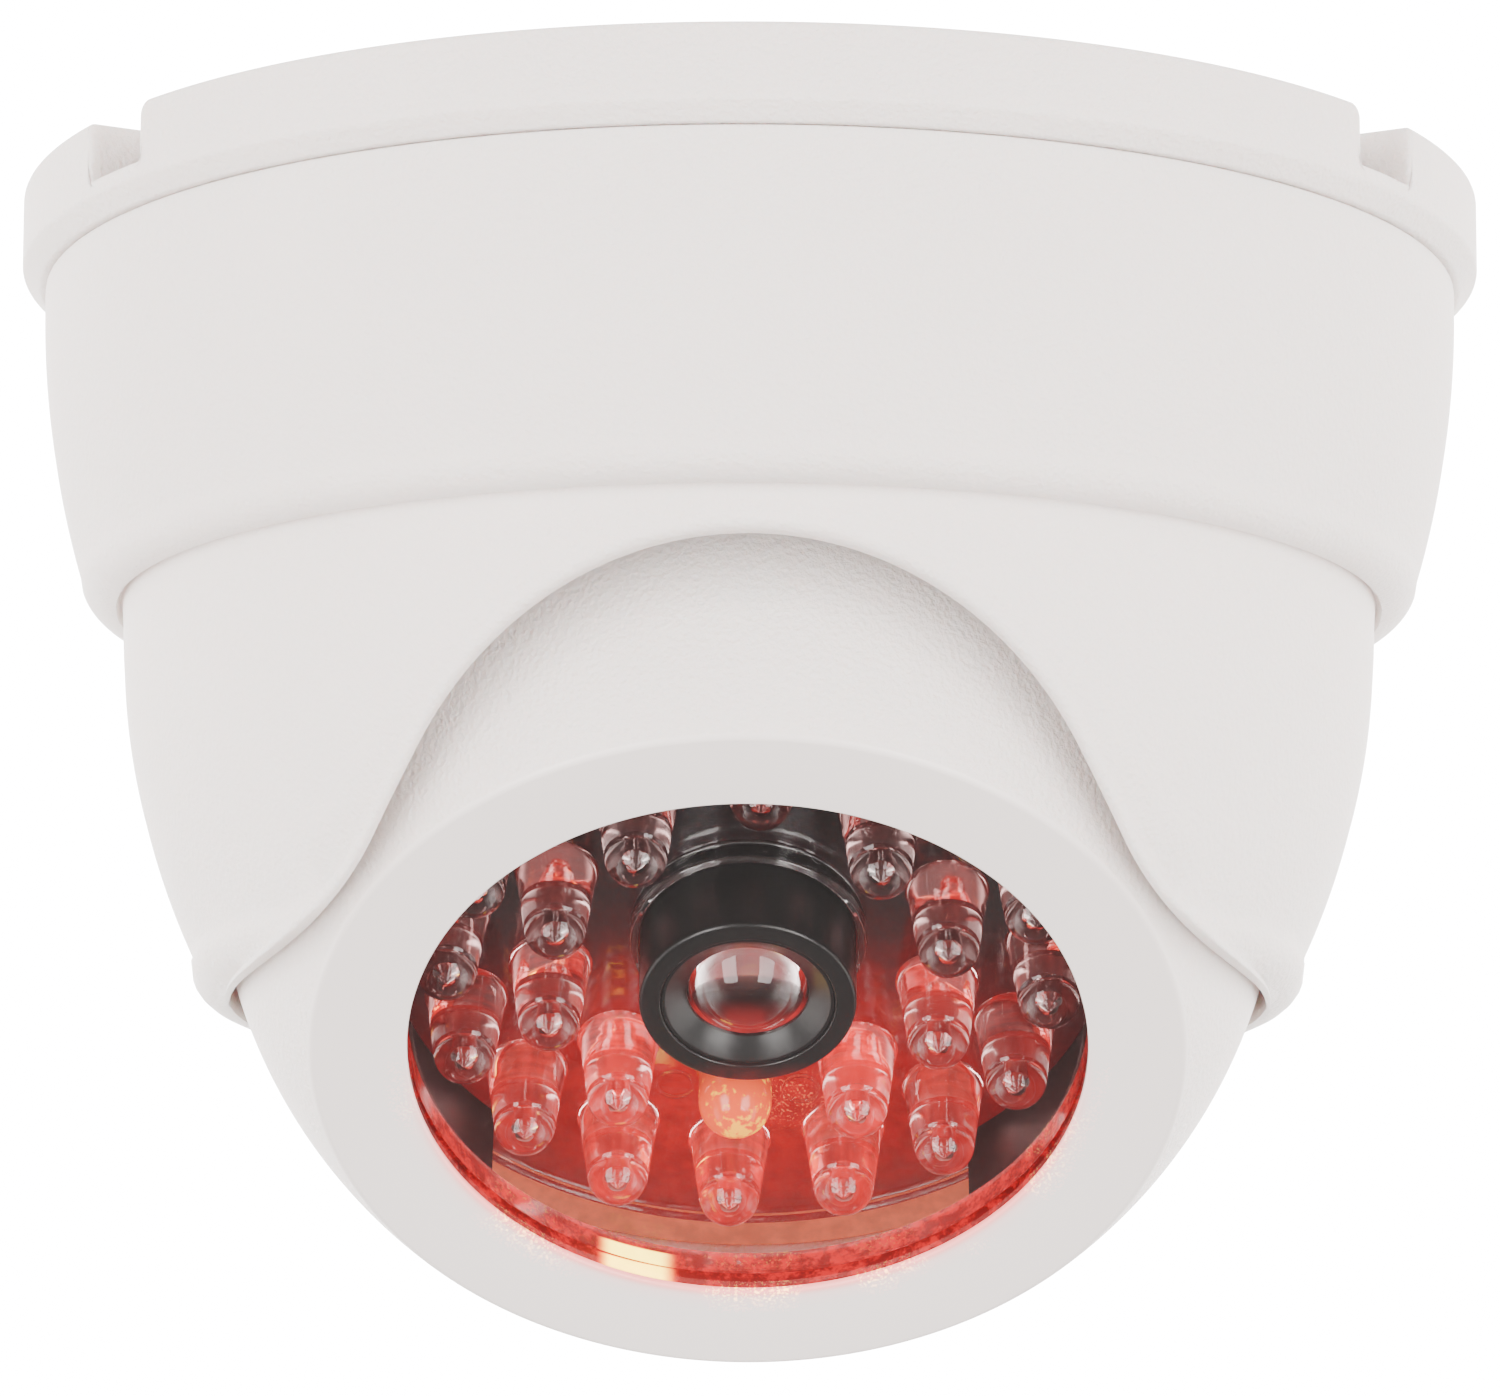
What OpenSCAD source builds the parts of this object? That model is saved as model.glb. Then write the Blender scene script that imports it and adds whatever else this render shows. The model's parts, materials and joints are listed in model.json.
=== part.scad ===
// Ceiling dome camera with a tilting eyeball, clear dummy LEDs and one flashing light.
// Millimetres. The origin is the centre of the face that meets the ceiling, the dome hangs
// down along -Z, and the camera looks towards -Y and down.

/* [Base] */
// Outer radius of the mounting base
base_r = 50; // [49.5:0.1:50.5]
// Height of the base wall
base_h = 6.3; // [6:0.1:6.4]
// Thickness of the plate against the ceiling
base_floor = 2; // [1.6:0.1:2.2]
// Distance between the two mounting screw holes
hole_spacing = 66; // [56:1:70]
// Radius of a mounting screw hole
hole_r = 2.2; // [1.8:0.1:2.5]
// Angle of each cable notch from the front
notch_angle = 57.3; // [40:1:70]
// Width of a cable notch
notch_w = 6.5; // [4:0.5:9]
// Depth of a cable notch, from the ceiling
notch_h = 4; // [3:0.1:4.2]

/* [Cover] */
// Outer radius of the housing at its top
housing_r = 48.4; // [48:0.1:48.6]
// Height at which the housing's flank ends in its shoulder
shoulder_z = -26.3; // [-27:0.1:-26]
// Outer radius of the bowl at its top
bowl_r = 42.7; // [42.5:0.1:43]
// Height of the bowl's bottom plane
bowl_z = -55.5; // [-55.6:0.1:-55.4]
// Height of the top of the arch
arch_z = -31.4; // [-32:0.1:-31]
// Radius of the arch
arch_r = 24.6; // [24:0.1:25]
// Slope of the arch's straight flanks
arch_slope = 60; // [58:1:62]
// Radius that flares the arch into the bottom plane
flare_r = 13; // [12:0.5:14]

/* [Eyeball] */
// Outer radius of the eyeball
ball_r = 36.3; // [36.2:0.1:36.4]
// Height of the eyeball's centre
ball_z = -43.7; // [-43.9:0.1:-43.6]
// Angle of the view below the horizontal
look_down = 53.2; // [30:1:89]
// Wall thickness of the eyeball
ball_wall = 2.2; // [2:0.1:2.4]
// Radius of the pivot pins
pivot_r = 2.5; // [2:0.1:2.6]
// Radius of the visible window
window_r = 22.6; // [22:0.1:22.8]
// Radius of the flat bezel
bezel_r = 29; // [28.5:0.1:29.2]

/* [Lens and LEDs] */
// Outer radius of the lens barrel
barrel_r = 7.28; // [7:0.01:7.4]
// Front of the lens barrel, from the eyeball's centre
barrel_front = 16.4; // [15:0.1:17]
// Radius of the circle of the inner LEDs
inner_ring_r = 13.8; // [13.4:0.1:14]
// Number of places in the inner ring
inner_count = 10; // [8:2:12]
// Radius of the circle of the outer LEDs
outer_ring_r = 20.2; // [19.8:0.1:20.2]
// Number of places in the outer ring
outer_count = 16; // [12:1:20]
// Angle by which the LED plate is turned
plate_turn = 3.5; // [0:0.5:5]
// Radius of a dummy LED at its foot
led_foot_r = 2.7; // [2.5:0.05:2.8]
// Radius of a dummy LED at its tip
led_tip_r = 2.1; // [1.8:0.05:2.3]

/* [Cells] */
// Length of a cell with its tip
cell_l = 44.5; // [44:0.1:44.5]
// Radius of a cell
cell_r = 5.15; // [5:0.05:5.2]

/* [Hidden] */
$fn = 96;
over = 1;
fit_gap = 0.05;

// base
base_wall_in = 45.5;
ledge_in = 43.2;
ledge_z = -4.7;
ledge_half = 12;
hook_half = 11;
hook_in = 40.8;
hook_neck = 42.9;
hook_top_out = 45.1;
hook_foot_out = 47;
hook_z = [-12, -9, -4.35, -2.6];
stop_from = 11.6;
stop_to = 13.5;
lug_angles = [0, 120, 240];
screw_boss_r = 4.6;
screw_boss_h = 3.2;
edge_chamfer = 1.2;
edge_round = 0.5;
rib_out = 22;
rib_in = 20.8;
rib_h = 1.2;

// cover
flank_curve = 62.5;
flank_top = -8;
cover_top = -base_h - 0.4;
cover_wall = 2.2;
shoulder_r = 2.3;
shoulder_c = flank_x(shoulder_z) - shoulder_r + 0.05;
crease_z = -27.6;
bowl_top = -30;
bowl_curve = 52;
bowl_in_r = 40.5;
bowl_in_curve = 58;
bowl_lip_r = 35.05;
corner_r = 2.4;
arch_c = arch_z - arch_r;
arch_foot_x = arch_r * sin(arch_slope);
arch_foot_z = arch_c + arch_r * cos(arch_slope);
flare_top_z = bowl_z + flare_r * (1 - cos(arch_slope));
flare_top_x = arch_foot_x + (arch_foot_z - flare_top_z) / tan(arch_slope);
flare_x = flare_top_x + flare_r * sin(arch_slope);
flare_z = bowl_z + flare_r;

// pivots
flat_x = 34.8;
pin_end = 38.2;
saddle_x = [35.2, 38.9];
saddle_half = 5.5;
saddle_drop = 4.5;
clip_x = [35.4, 38.4];
clip_h = 4;
clip_screw_x = 36.9;
clip_screw_y = 4.1;
clip_screw_r = 0.7;

// eyeball, along its own axis: k is the distance from its centre towards the window
parting_k = -5;
bezel_k = sqrt(pow(ball_r, 2) - pow(bezel_r, 2));
bezel_edge_k = 21.25;
lip_k = 20.8;
window_seat_r = 24.1;
skirt_k = 17.4;
rear_hole_r = 24;
post_r = 2.2;
post_circle = 31;
post_angles = [90, 210, 330];
post_end_k = 13.8;
post_hole_k = 12;
shell_screw_circle = 31.6;
shell_screw_angles = [25, 155, 225, 315];
shell_screw_k = -9.5;
shell_post_r = 2.9;
shell_post_k = 3.4;
shell_hole_k = 2.4;
pilot_r = 0.9;
box_screw_u = 29.3;
box_ear_k = [-8.6, -7.4];
pivot_boss_r = 4.4;

// stack inside the eyeball
carrier_k = 4.7;
backing_k = 6.7;
plate_k = 7.5;
plate_front = 9;
plate_r = 28.5;
carrier_out = 33;
carrier_flat = 31.6;
carrier_seat = 0.3;
carrier_in = 24.5;
liner_gap = 41.5;
liner_in = 24.6;
led_axis_l = 5.5;
short_by = 3.3;
flash_r = 2.5;
flash_centre_k = 11.8;
flash_foot_k = 6.2;
collar_r = 8;
collar_k = 10.6;
mark_r = 1.3;
mark_circle = 15.6;
mark_angles = [163, 195];
lead_u = [-1.27, 1.27];

// lens
lens_flange_k = 13.9;
lens_seat_k = 14.8;
lens_r = 3.95;
lens_rise = 2.5;
lens_sphere_r = (pow(lens_r, 2) + pow(lens_rise, 2)) / (2 * lens_rise);

// battery box and cells
box_half_u = 25.5;
box_half_w = 12;
box_back = -18;
box_front = -5.8;
box_wall = 1.2;
box_ear_u = 31.6;
cell_w = 5.6;
cell_k = -12.6;
contact_u = 24;
contact_t = 0.3;
spring_r = 3.2;
spring_wire = 0.35;
switch_half_u = 6;
switch_w = [12, 17];
switch_k = [-18, -12.5];
slot_half_u = 2.7;
slot_w = [13.4, 15.6];
slot_floor = -15.5;
slider_l = 3.2;
board_half_u = 9;
board_w = [-23, -7];
board_k = [0.8, 2];
board_screw = [7, -9.5];
wire_r = 0.55;

plastic_white = [0.92, 0.91, 0.9];
plastic_black = [0.05, 0.05, 0.055];
plastic_clear = [0.9, 0.92, 0.95, 0.4];
metal = [0.75, 0.75, 0.77];

// ---- functions ----

function arc(cx, cy, r, a0, a1, n) =
  [for (i = [0:n]) let (a = a0 + (a1 - a0) * i / n) [cx + r * cos(a), cy + r * sin(a)]];

// radius of a flank that is upright at z = top and curves in below it
function curved(r, top, curve, z) = r - curve + sqrt(pow(curve, 2) - pow(top - z, 2));
function flank_x(z) = curved(housing_r, flank_top, flank_curve, z);
function bowl_x(z) = curved(bowl_r, bowl_top, bowl_curve, z);
function bowl_in_x(z) = curved(bowl_in_r, bowl_top, bowl_in_curve, z);

function unit(v) = v / norm(v);
function along(p, i) = unit(p[min(i + 1, len(p) - 1)] - p[max(i - 1, 0)]);

// points of a path drawn smoothly through hand-set points (Catmull-Rom)
function blend_point(a, b, c, d, t) =
  0.5 * (2 * b + (c - a) * t + (2 * a - 5 * b + 4 * c - d) * t * t
    + (3 * b - 3 * c + d - a) * t * t * t);
function smooth_path(p, n) = concat(
  [for (i = [0:len(p) - 2]) for (j = [0:n - 1])
    blend_point(p[max(i - 1, 0)], p[i], p[i + 1], p[min(i + 2, len(p) - 1)], j / n)],
  [p[len(p) - 1]]);

// ---- shared shapes ----

// a round wire along a list of points; side is a direction that the path never takes
module wire(path, r, side, sides = 8) {
  rings = [for (i = [0:len(path) - 1])
    let (t = along(path, i), u = unit(cross(t, side)), v = cross(t, u))
      for (s = [0:sides - 1])
        path[i] + r * (cos(360 * s / sides) * u + sin(360 * s / sides) * v)];
  last = (len(path) - 1) * sides;
  walls = [for (i = [0:len(path) - 2]) for (s = [0:sides - 1])
    let (a = i * sides + s, b = i * sides + (s + 1) % sides)
      each [[a, a + sides, b + sides], [a, b + sides, b]]];
  ends = [[for (s = [0:sides - 1]) s], [for (s = [sides - 1:-1:0]) last + s]];
  polyhedron(rings, concat(walls, ends));
}

module tube(r_out, r_in, z0, z1) {
  translate([0, 0, z0])
    difference() {
      cylinder(r = r_out, h = z1 - z0);
      translate([0, 0, -over]) cylinder(r = r_in, h = z1 - z0 + 2 * over);
    }
}

module rod(r, z0, z1) {
  translate([0, 0, z0]) cylinder(r = r, h = z1 - z0);
}

// part of a ring, centred on the front (-Y) and turned by a
module ring_part(r_in, r_out, z0, z1, a, half) {
  rotate([0, 0, a - 90 - half])
    rotate_extrude(angle = 2 * half)
      translate([r_in, z0]) square([r_out - r_in, z1 - z0]);
}

module block(x, y, z) {
  translate([x[0], y[0], z[0]]) cube([x[1] - x[0], y[1] - y[0], z[1] - z[0]]);
}

// a pan head whose underside is at z = 0, with its shank along +Z and a cross recess
module pan_screw(head_r, head_h, r, l) {
  difference() {
    union() {
      rod(head_r, -head_h, 0);
      rod(r, -over / 4, l - r);
      translate([0, 0, l - r]) cylinder(r1 = r, r2 = r / 4, h = r);
    }
    for (a = [0, 90])
      rotate([0, 0, a])
        block([-head_r * 0.6, head_r * 0.6], [-head_r * 0.12, head_r * 0.12], [-head_h - over, -head_h / 2]);
  }
}

// the eyeball's own frame: X stays, Z looks out through the window
module in_ball() {
  translate([0, 0, ball_z]) rotate([90 + look_down, 0, 0]) children();
}

// a place on a ring of LEDs, counted clockwise from the top as seen from outside
module led_place(ring_r, count, i) {
  rotate([0, 0, -plate_turn - 360 * i / count]) translate([0, ring_r, 0]) children();
}

// ---- base ----

module mounting_base() {
  color(plastic_white)
    difference() {
      union() {
        rotate_extrude()
          polygon(concat(
            [[0, 0], [0, -base_floor], [base_wall_in, -base_floor], [base_wall_in, -base_h],
              [base_r - edge_chamfer, -base_h], [base_r, -base_h + edge_chamfer]],
            arc(base_r - edge_round, -edge_round, edge_round, 0, 90, 4)));
        for (a = lug_angles) {
          ring_part(ledge_in, base_wall_in + 0.5, -base_h, ledge_z, a, ledge_half);
          ring_part(ledge_in, base_wall_in + 0.5, ledge_z - 0.1, -base_floor + 0.1,
            a - (stop_from + stop_to) / 2, (stop_to - stop_from) / 2);
        }
        for (x = [-1, 1])
          translate([x * hole_spacing / 2, 0, 0]) rod(screw_boss_r, -screw_boss_h, -0.5);
        tube(rib_out, rib_in, -base_floor - rib_h, -0.5);
      }
      for (a = [-notch_angle, notch_angle])
        rotate([0, 0, a])
          block([-notch_w / 2, notch_w / 2], [-base_r - over, -base_wall_in + 1], [-notch_h, over]);
      for (x = [-1, 1])
        translate([x * hole_spacing / 2, 0, 0]) rod(hole_r, -screw_boss_h - over, over);
    }
}

// ---- cover ----

module cover_profile() {
  polygon(concat(
    [[housing_r, cover_top]],
    [for (z = [flank_top:-2:shoulder_z]) [flank_x(z), z]],
    arc(shoulder_c, shoulder_z, shoulder_r, 0, -110, 8),
    [[bowl_r, crease_z]],
    [for (z = [bowl_top:-1.5:bowl_z + corner_r + 1]) [bowl_x(z), z]],
    arc(bowl_lip_r + 0.35, bowl_z + corner_r, corner_r, 10, -90, 5),
    [[bowl_lip_r, bowl_z]],
    [for (z = [bowl_z + 2:2:bowl_top - 1]) [bowl_in_x(z), z]],
    [[bowl_in_r, bowl_top], [bowl_in_r + 0.6, crease_z + 1.2],
      [shoulder_c, shoulder_z + 0.6]],
    [for (z = [shoulder_z + 4:4:flank_top]) [flank_x(z) - cover_wall, z]],
    [[housing_r - cover_wall, cover_top]]));
}

// the arch, drawn as seen from the front
module arch_outline() {
  translate([0, arch_c]) circle(r = arch_r);
  difference() {
    polygon([
      [-arch_foot_x, arch_foot_z], [arch_foot_x, arch_foot_z],
      [flare_top_x, flare_top_z], [flare_x, bowl_z], [flare_x, bowl_z - 2],
      [-flare_x, bowl_z - 2], [-flare_x, bowl_z], [-flare_top_x, flare_top_z]]);
    for (s = [-1, 1])
      translate([s * flare_x, flare_z]) circle(r = flare_r);
  }
}

module pivot_saddle(side) {
  x = side > 0 ? saddle_x : [-saddle_x[1], -saddle_x[0]];
  block(x, [-saddle_half, saddle_half], [ball_z - saddle_drop, ball_z]);
}

module bayonet_hook(a) {
  ring_part(hook_in, hook_neck, hook_z[0], hook_z[3], a, hook_half);
  ring_part(hook_in, hook_top_out, hook_z[2], hook_z[3], a, hook_half);
  ring_part(hook_in, hook_foot_out, hook_z[0], hook_z[1], a, hook_half);
}

module cover() {
  color(plastic_white)
    difference() {
      union() {
        rotate_extrude() cover_profile();
        for (a = lug_angles) bayonet_hook(a);
        for (side = [-1, 1]) pivot_saddle(side);
      }
      rotate([90, 0, 0]) linear_extrude(height = base_r) arch_outline();
      for (side = [-1, 1]) {
        translate([side * (saddle_x[0] - over), 0, ball_z])
          rotate([0, side * 90, 0]) rod(pivot_r + fit_gap, 0, pin_end + 0.3 - saddle_x[0] + over);
        for (y = [-1, 1])
          translate([side * clip_screw_x, y * clip_screw_y, 0])
            rod(clip_screw_r + fit_gap, ball_z - 3.5, ball_z + over);
      }
    }
}

module pivot_clips() {
  color(plastic_white)
    for (side = [-1, 1])
      difference() {
        block(side > 0 ? clip_x : [-clip_x[1], -clip_x[0]],
          [-saddle_half, saddle_half], [ball_z, ball_z + clip_h]);
        translate([side * (clip_x[0] - over), 0, ball_z])
          rotate([0, side * 90, 0]) rod(pivot_r + fit_gap, 0, clip_x[1] - clip_x[0] + 2 * over);
        for (y = [-1, 1])
          translate([side * clip_screw_x, y * clip_screw_y, 0])
            rod(clip_screw_r + fit_gap, ball_z - over, ball_z + clip_h + over);
      }
}

module clip_screws() {
  color(metal)
    for (side = [-1, 1]) for (y = [-1, 1])
      translate([side * clip_screw_x, y * clip_screw_y, ball_z + clip_h])
        rotate([180, 0, 0]) pan_screw(1.3, 0.9, clip_screw_r, clip_h + 3);
}

// ---- eyeball shells ----

module pivot_pins() {
  for (side = [-1, 1])
    rotate([0, side * 90, 0]) {
      rod(pivot_boss_r, 32, flat_x - 0.4);
      rod(pivot_r, 33, pin_end);
    }
}

module ball_flats() {
  for (side = [-1, 1])
    rotate([0, side * 90, 0]) rod(ball_r, flat_x, ball_r + over);
}

// the bezel's ring, still square at its front, with the seat that the window is pressed into
module bezel_profile() {
  polygon([
    [window_r, lip_k], [window_seat_r, lip_k], [window_seat_r, skirt_k],
    [window_seat_r + 1.4, skirt_k], [window_seat_r + 1.4, 19.6], [bezel_r - 0.1, 19.6],
    [bezel_r - 0.1, ball_r], [window_r, ball_r]]);
}

// what is cut off in front of the slightly dished bezel
module dish_profile() {
  slope = (bezel_k - bezel_edge_k) / (bezel_r - window_r);
  polygon([
    [0, bezel_edge_k - window_r * slope], [bezel_r + 2, bezel_k + 2 * slope],
    [bezel_r + 2, ball_r + 2 * over], [0, ball_r + 2 * over]]);
}

module eye_front_shell() {
  color(plastic_white) in_ball()
    union() {
      difference() {
        union() {
          difference() {
            sphere(r = ball_r);
            sphere(r = ball_r - ball_wall);
            rod(window_seat_r + 0.7, 15, ball_r + over);
            ball_flats();
          }
          rotate_extrude() bezel_profile();
          for (a = post_angles)
            rotate([0, 0, a]) translate([post_circle, 0, 0])
              rod(post_r, backing_k - carrier_seat, post_end_k);
          for (a = shell_screw_angles)
            rotate([0, 0, a]) translate([shell_screw_circle, 0, 0])
              rod(shell_post_r, parting_k - over, shell_post_k);
        }
        for (a = post_angles)
          rotate([0, 0, a]) translate([post_circle, 0, 0]) rod(pilot_r, backing_k - over, post_hole_k);
        for (a = shell_screw_angles)
          rotate([0, 0, a]) translate([shell_screw_circle, 0, 0])
            rod(pilot_r, parting_k - over, shell_hole_k);
        rod(ball_r + over, -ball_r - over, parting_k);
        rotate_extrude() dish_profile();
      }
      pivot_pins();
    }
}

module eye_rear_shell() {
  color(plastic_white) in_ball()
    difference() {
      union() {
        difference() {
          sphere(r = ball_r);
          sphere(r = ball_r - ball_wall);
          rod(ball_r + over, parting_k, ball_r + over);
          rod(rear_hole_r, -ball_r - over, -15);
          ball_flats();
        }
        intersection() {
          sphere(r = ball_r - 0.2);
          for (a = shell_screw_angles)
            rotate([0, 0, a]) translate([shell_screw_circle, 0, 0]) rod(shell_post_r, -20, parting_k);
        }
        for (side = [-1, 1])
          translate([side * box_screw_u, 0, 0]) rod(2, -18.8, box_ear_k[0]);
      }
      for (a = shell_screw_angles)
        rotate([0, 0, a]) translate([shell_screw_circle, 0, 0]) {
          rod(2.3, -ball_r, shell_screw_k);
          rod(1.25, shell_screw_k - 0.5, parting_k + over);
        }
      for (side = [-1, 1])
        translate([side * box_screw_u, 0, 0]) rod(pilot_r + fit_gap, -15, -8);
    }
}

module shell_screws() {
  color(metal) in_ball()
    for (a = shell_screw_angles)
      rotate([0, 0, a]) translate([shell_screw_circle, 0, shell_screw_k])
        pan_screw(2, 1.4, pilot_r - 0.02, 11.5);
}

// ---- window and LED stack ----

module window() {
  color(plastic_clear) in_ball() {
    rod(window_seat_r - 0.1, lip_k - 1.2, lip_k);
    tube(window_seat_r - 0.1, window_r + 0.1, skirt_k, lip_k - 1.1);
  }
}

module liner_ring() {
  color(plastic_black) in_ball()
    difference() {
      rotate_extrude()
        polygon([[liner_in, plate_front], [28.3, plate_front], [28.3, plate_front + 1],
          [liner_in + 1.3, plate_front + 1], [liner_in + 1.3, skirt_k], [liner_in, skirt_k]]);
      ring_part(liner_in - over, 30, plate_front - over, skirt_k + over, -plate_turn, liner_gap);
    }
}

module led_plate() {
  color(plastic_clear) in_ball()
    difference() {
      union() {
        rod(plate_r, plate_k, plate_front);
        rod(collar_r, plate_front - 0.1, collar_k);
        for (a = mark_angles)
          rotate([0, 0, -plate_turn - a]) translate([0, mark_circle, 0])
            tube(mark_r, mark_r - 0.25, plate_front - 0.1, plate_front + 0.15);
      }
      rod(barrel_r + 0.1, plate_k - over, collar_k + over);
      led_place(inner_ring_r, inner_count, inner_count / 2)
        rod(flash_r + 0.1, plate_k - over, plate_front + over);
    }
}

module backing_disc() {
  color(plastic_black) in_ball()
    difference() {
      union() {
        rod(plate_r - 0.2, backing_k, plate_k);
        for (side = [-1, 1])
          translate([side * board_screw[0], board_screw[1], 0]) rod(1.5, board_k[1], backing_k + 0.1);
      }
      rod(1.1, backing_k - over, plate_k + over);
      led_place(inner_ring_r, inner_count, inner_count / 2)
        rod(flash_r + 0.1, backing_k - over, plate_k + over);
      for (side = [-1, 1])
        translate([side * board_screw[0], board_screw[1], 0])
          rod(0.62, board_k[1] - over, backing_k - 0.5);
    }
}

module plate_carrier() {
  color(plastic_white) in_ball()
    difference() {
      rotate_extrude()
        polygon([[carrier_in, carrier_k], [carrier_out, carrier_k],
          [carrier_out, backing_k], [29.8, backing_k], [29.8, backing_k + 1],
          [plate_r + 0.15, backing_k + 1], [plate_r + 0.15, backing_k], [carrier_in, backing_k]]);
      for (a = post_angles)
        rotate([0, 0, a]) translate([post_circle, 0, 0]) {
          rod(1.05, carrier_k - over, backing_k + over);
          rod(post_r + 0.4, backing_k - carrier_seat, backing_k + 2);
        }
      for (a = shell_screw_angles)
        rotate([0, 0, a]) translate([shell_screw_circle, 0, 0])
          rod(shell_post_r, carrier_k - over, backing_k + 2);
      for (side = [-1, 1])
        rotate([0, side * 90, 0]) rod(carrier_out, carrier_flat, carrier_out + over);
    }
}

module carrier_screws() {
  color(metal) in_ball()
    for (a = post_angles)
      rotate([0, 0, a]) translate([post_circle, 0, carrier_k])
        pan_screw(1.8, 1.3, pilot_r - 0.02, 6.5);
}

// a clear moulded body in the shape of an LED, cut short at its foot by cut
module dummy_led(cut) {
  tip_k = plate_front + led_axis_l - cut;
  foot_r = led_foot_r + (led_tip_r - led_foot_r) * cut / led_axis_l;
  translate([0, 0, plate_front]) cylinder(r1 = foot_r, r2 = led_tip_r, h = led_axis_l - cut);
  translate([0, 0, tip_k]) sphere(r = led_tip_r);
}

module dummy_leds_inner() {
  color(plastic_clear) in_ball() {
    led_place(inner_ring_r, inner_count, 0) dummy_led(short_by);
    for (i = [1:inner_count - 1])
      if (i != inner_count / 2) led_place(inner_ring_r, inner_count, i) dummy_led(0);
  }
}

module dummy_leds_outer() {
  color(plastic_clear) in_ball()
    for (i = [0:outer_count - 1]) led_place(outer_ring_r, outer_count, i) dummy_led(0);
}

module flash_led() {
  color([0.85, 0.1, 0.05]) in_ball()
    led_place(inner_ring_r, inner_count, inner_count / 2) {
      rod(flash_r, flash_foot_k, flash_centre_k);
      translate([0, 0, flash_centre_k]) sphere(r = flash_r);
      rod(flash_r + 0.4, flash_foot_k - 0.7, flash_foot_k + 0.1);
    }
}

module led_leads() {
  color(metal) in_ball()
    led_place(inner_ring_r, inner_count, inner_count / 2)
      for (x = lead_u)
        block([x - 0.25, x + 0.25], [-0.25, 0.25], [board_k[0] - 0.6, flash_foot_k - 0.7]);
}

// ---- lens ----

module lens_barrel() {
  color(plastic_black) in_ball()
    difference() {
      rod(barrel_r, plate_k, barrel_front);
      rod(5.85, lens_seat_k + 0.1, barrel_front + over);
      rod(4.65, lens_flange_k - 0.1, barrel_front + over);
      rod(3.9, lens_flange_k - 1.6, barrel_front);
      rod(pilot_r, plate_k - over, lens_flange_k - 2.4);
    }
}

module lens_retainer() {
  color(plastic_black) in_ball()
    rotate_extrude()
      polygon([[4.1, lens_seat_k + 0.1], [5.8, lens_seat_k + 0.1], [5.8, barrel_front - 0.2],
        [5.5, barrel_front - 0.2], [4.1, lens_seat_k + 0.5]]);
}

module lens_dome() {
  color(plastic_clear) in_ball() {
    rod(4.6, lens_flange_k, lens_seat_k);
    intersection() {
      translate([0, 0, lens_seat_k + lens_rise - lens_sphere_r]) sphere(r = lens_sphere_r);
      rod(lens_r, lens_seat_k - 0.1, lens_seat_k + lens_rise + over);
    }
  }
}

module barrel_screw() {
  color(metal) in_ball()
    translate([0, 0, backing_k]) pan_screw(2.2, 1.4, pilot_r - 0.02, 4.6);
}

// ---- driver board ----

module driver_board() {
  color([0.72, 0.5, 0.25]) in_ball()
    difference() {
      block([-board_half_u, board_half_u], board_w, board_k);
      for (side = [-1, 1])
        translate([side * board_screw[0], board_screw[1], 0]) rod(0.7, board_k[0] - over, board_k[1] + over);
      led_place(inner_ring_r, inner_count, inner_count / 2)
        for (x = lead_u) translate([x, 0, 0]) rod(0.45, board_k[0] - over, board_k[1] + over);
    }
}

module driver_chip() {
  color(plastic_black) in_ball()
    translate([3.5, -18.6, board_k[0]]) mirror([0, 0, 1])
      rotate_extrude() polygon(concat([[0, 0]], [for (i = [0:6]) [3 * cos(15 * i), 1.3 * sin(15 * i)]]));
}

module board_parts() {
  in_ball() {
    color([0.8, 0.7, 0.5])
      translate([-7, -19.5, board_k[0] - 1.05]) rotate([0, 90, 0]) rod(1, 0, 5.6);
    color([0.1, 0.15, 0.4])
      translate([-5.5, -15, 0]) rod(2.2, board_k[0] - 4, board_k[0]);
  }
}

module board_screws() {
  color(metal) in_ball()
    for (side = [-1, 1])
      translate([side * board_screw[0], board_screw[1], board_k[0]]) pan_screw(1.2, 0.8, 0.6, 4.5);
}

// ---- battery box ----

module battery_box() {
  color(plastic_black) in_ball()
    difference() {
      union() {
        block([-box_half_u, box_half_u], [-box_half_w, box_half_w], [box_back, box_front]);
        block([-box_ear_u, box_ear_u], [-3, 3], box_ear_k);
      }
      block([-box_half_u + box_wall, box_half_u - box_wall],
        [-box_half_w + box_wall, -0.3], [box_back - over, box_front - box_wall]);
      block([-box_half_u + box_wall, box_half_u - box_wall],
        [0.3, box_half_w - box_wall], [box_back - over, box_front - box_wall]);
      for (side = [-1, 1])
        translate([side * box_screw_u, 0, 0]) rod(1.05, -9, -7);
    }
}

module box_screws() {
  color(metal) in_ball()
    for (side = [-1, 1])
      translate([side * box_screw_u, 0, box_ear_k[1]]) rotate([180, 0, 0]) pan_screw(1.8, 1.2, pilot_r, 6);
}

module contact_plates() {
  color(metal) in_ball()
    for (side = [-1, 1]) for (w = [-1, 1])
      block(side > 0 ? [contact_u, contact_u + contact_t] : [-contact_u - contact_t, -contact_u],
        [w * cell_w - 4.2, w * cell_w + 4.2], [-16.8, -8]);
}

module battery_springs() {
  turns = 3;
  steps = 16;
  length = 2 * contact_u - cell_l;
  color(metal) in_ball()
    for (side = [-1, 1])
      translate([-side * contact_u, side * cell_w, cell_k]) rotate([0, side * 90, 0])
        wire([for (i = [0:turns * steps])
            let (t = i / (turns * steps), r = spring_r - 1.2 * t)
              [r * cos(360 * i / steps), r * sin(360 * i / steps),
                spring_wire + (length - 2 * spring_wire) * t]],
          spring_wire, [0, 0, 1]);
}

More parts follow.
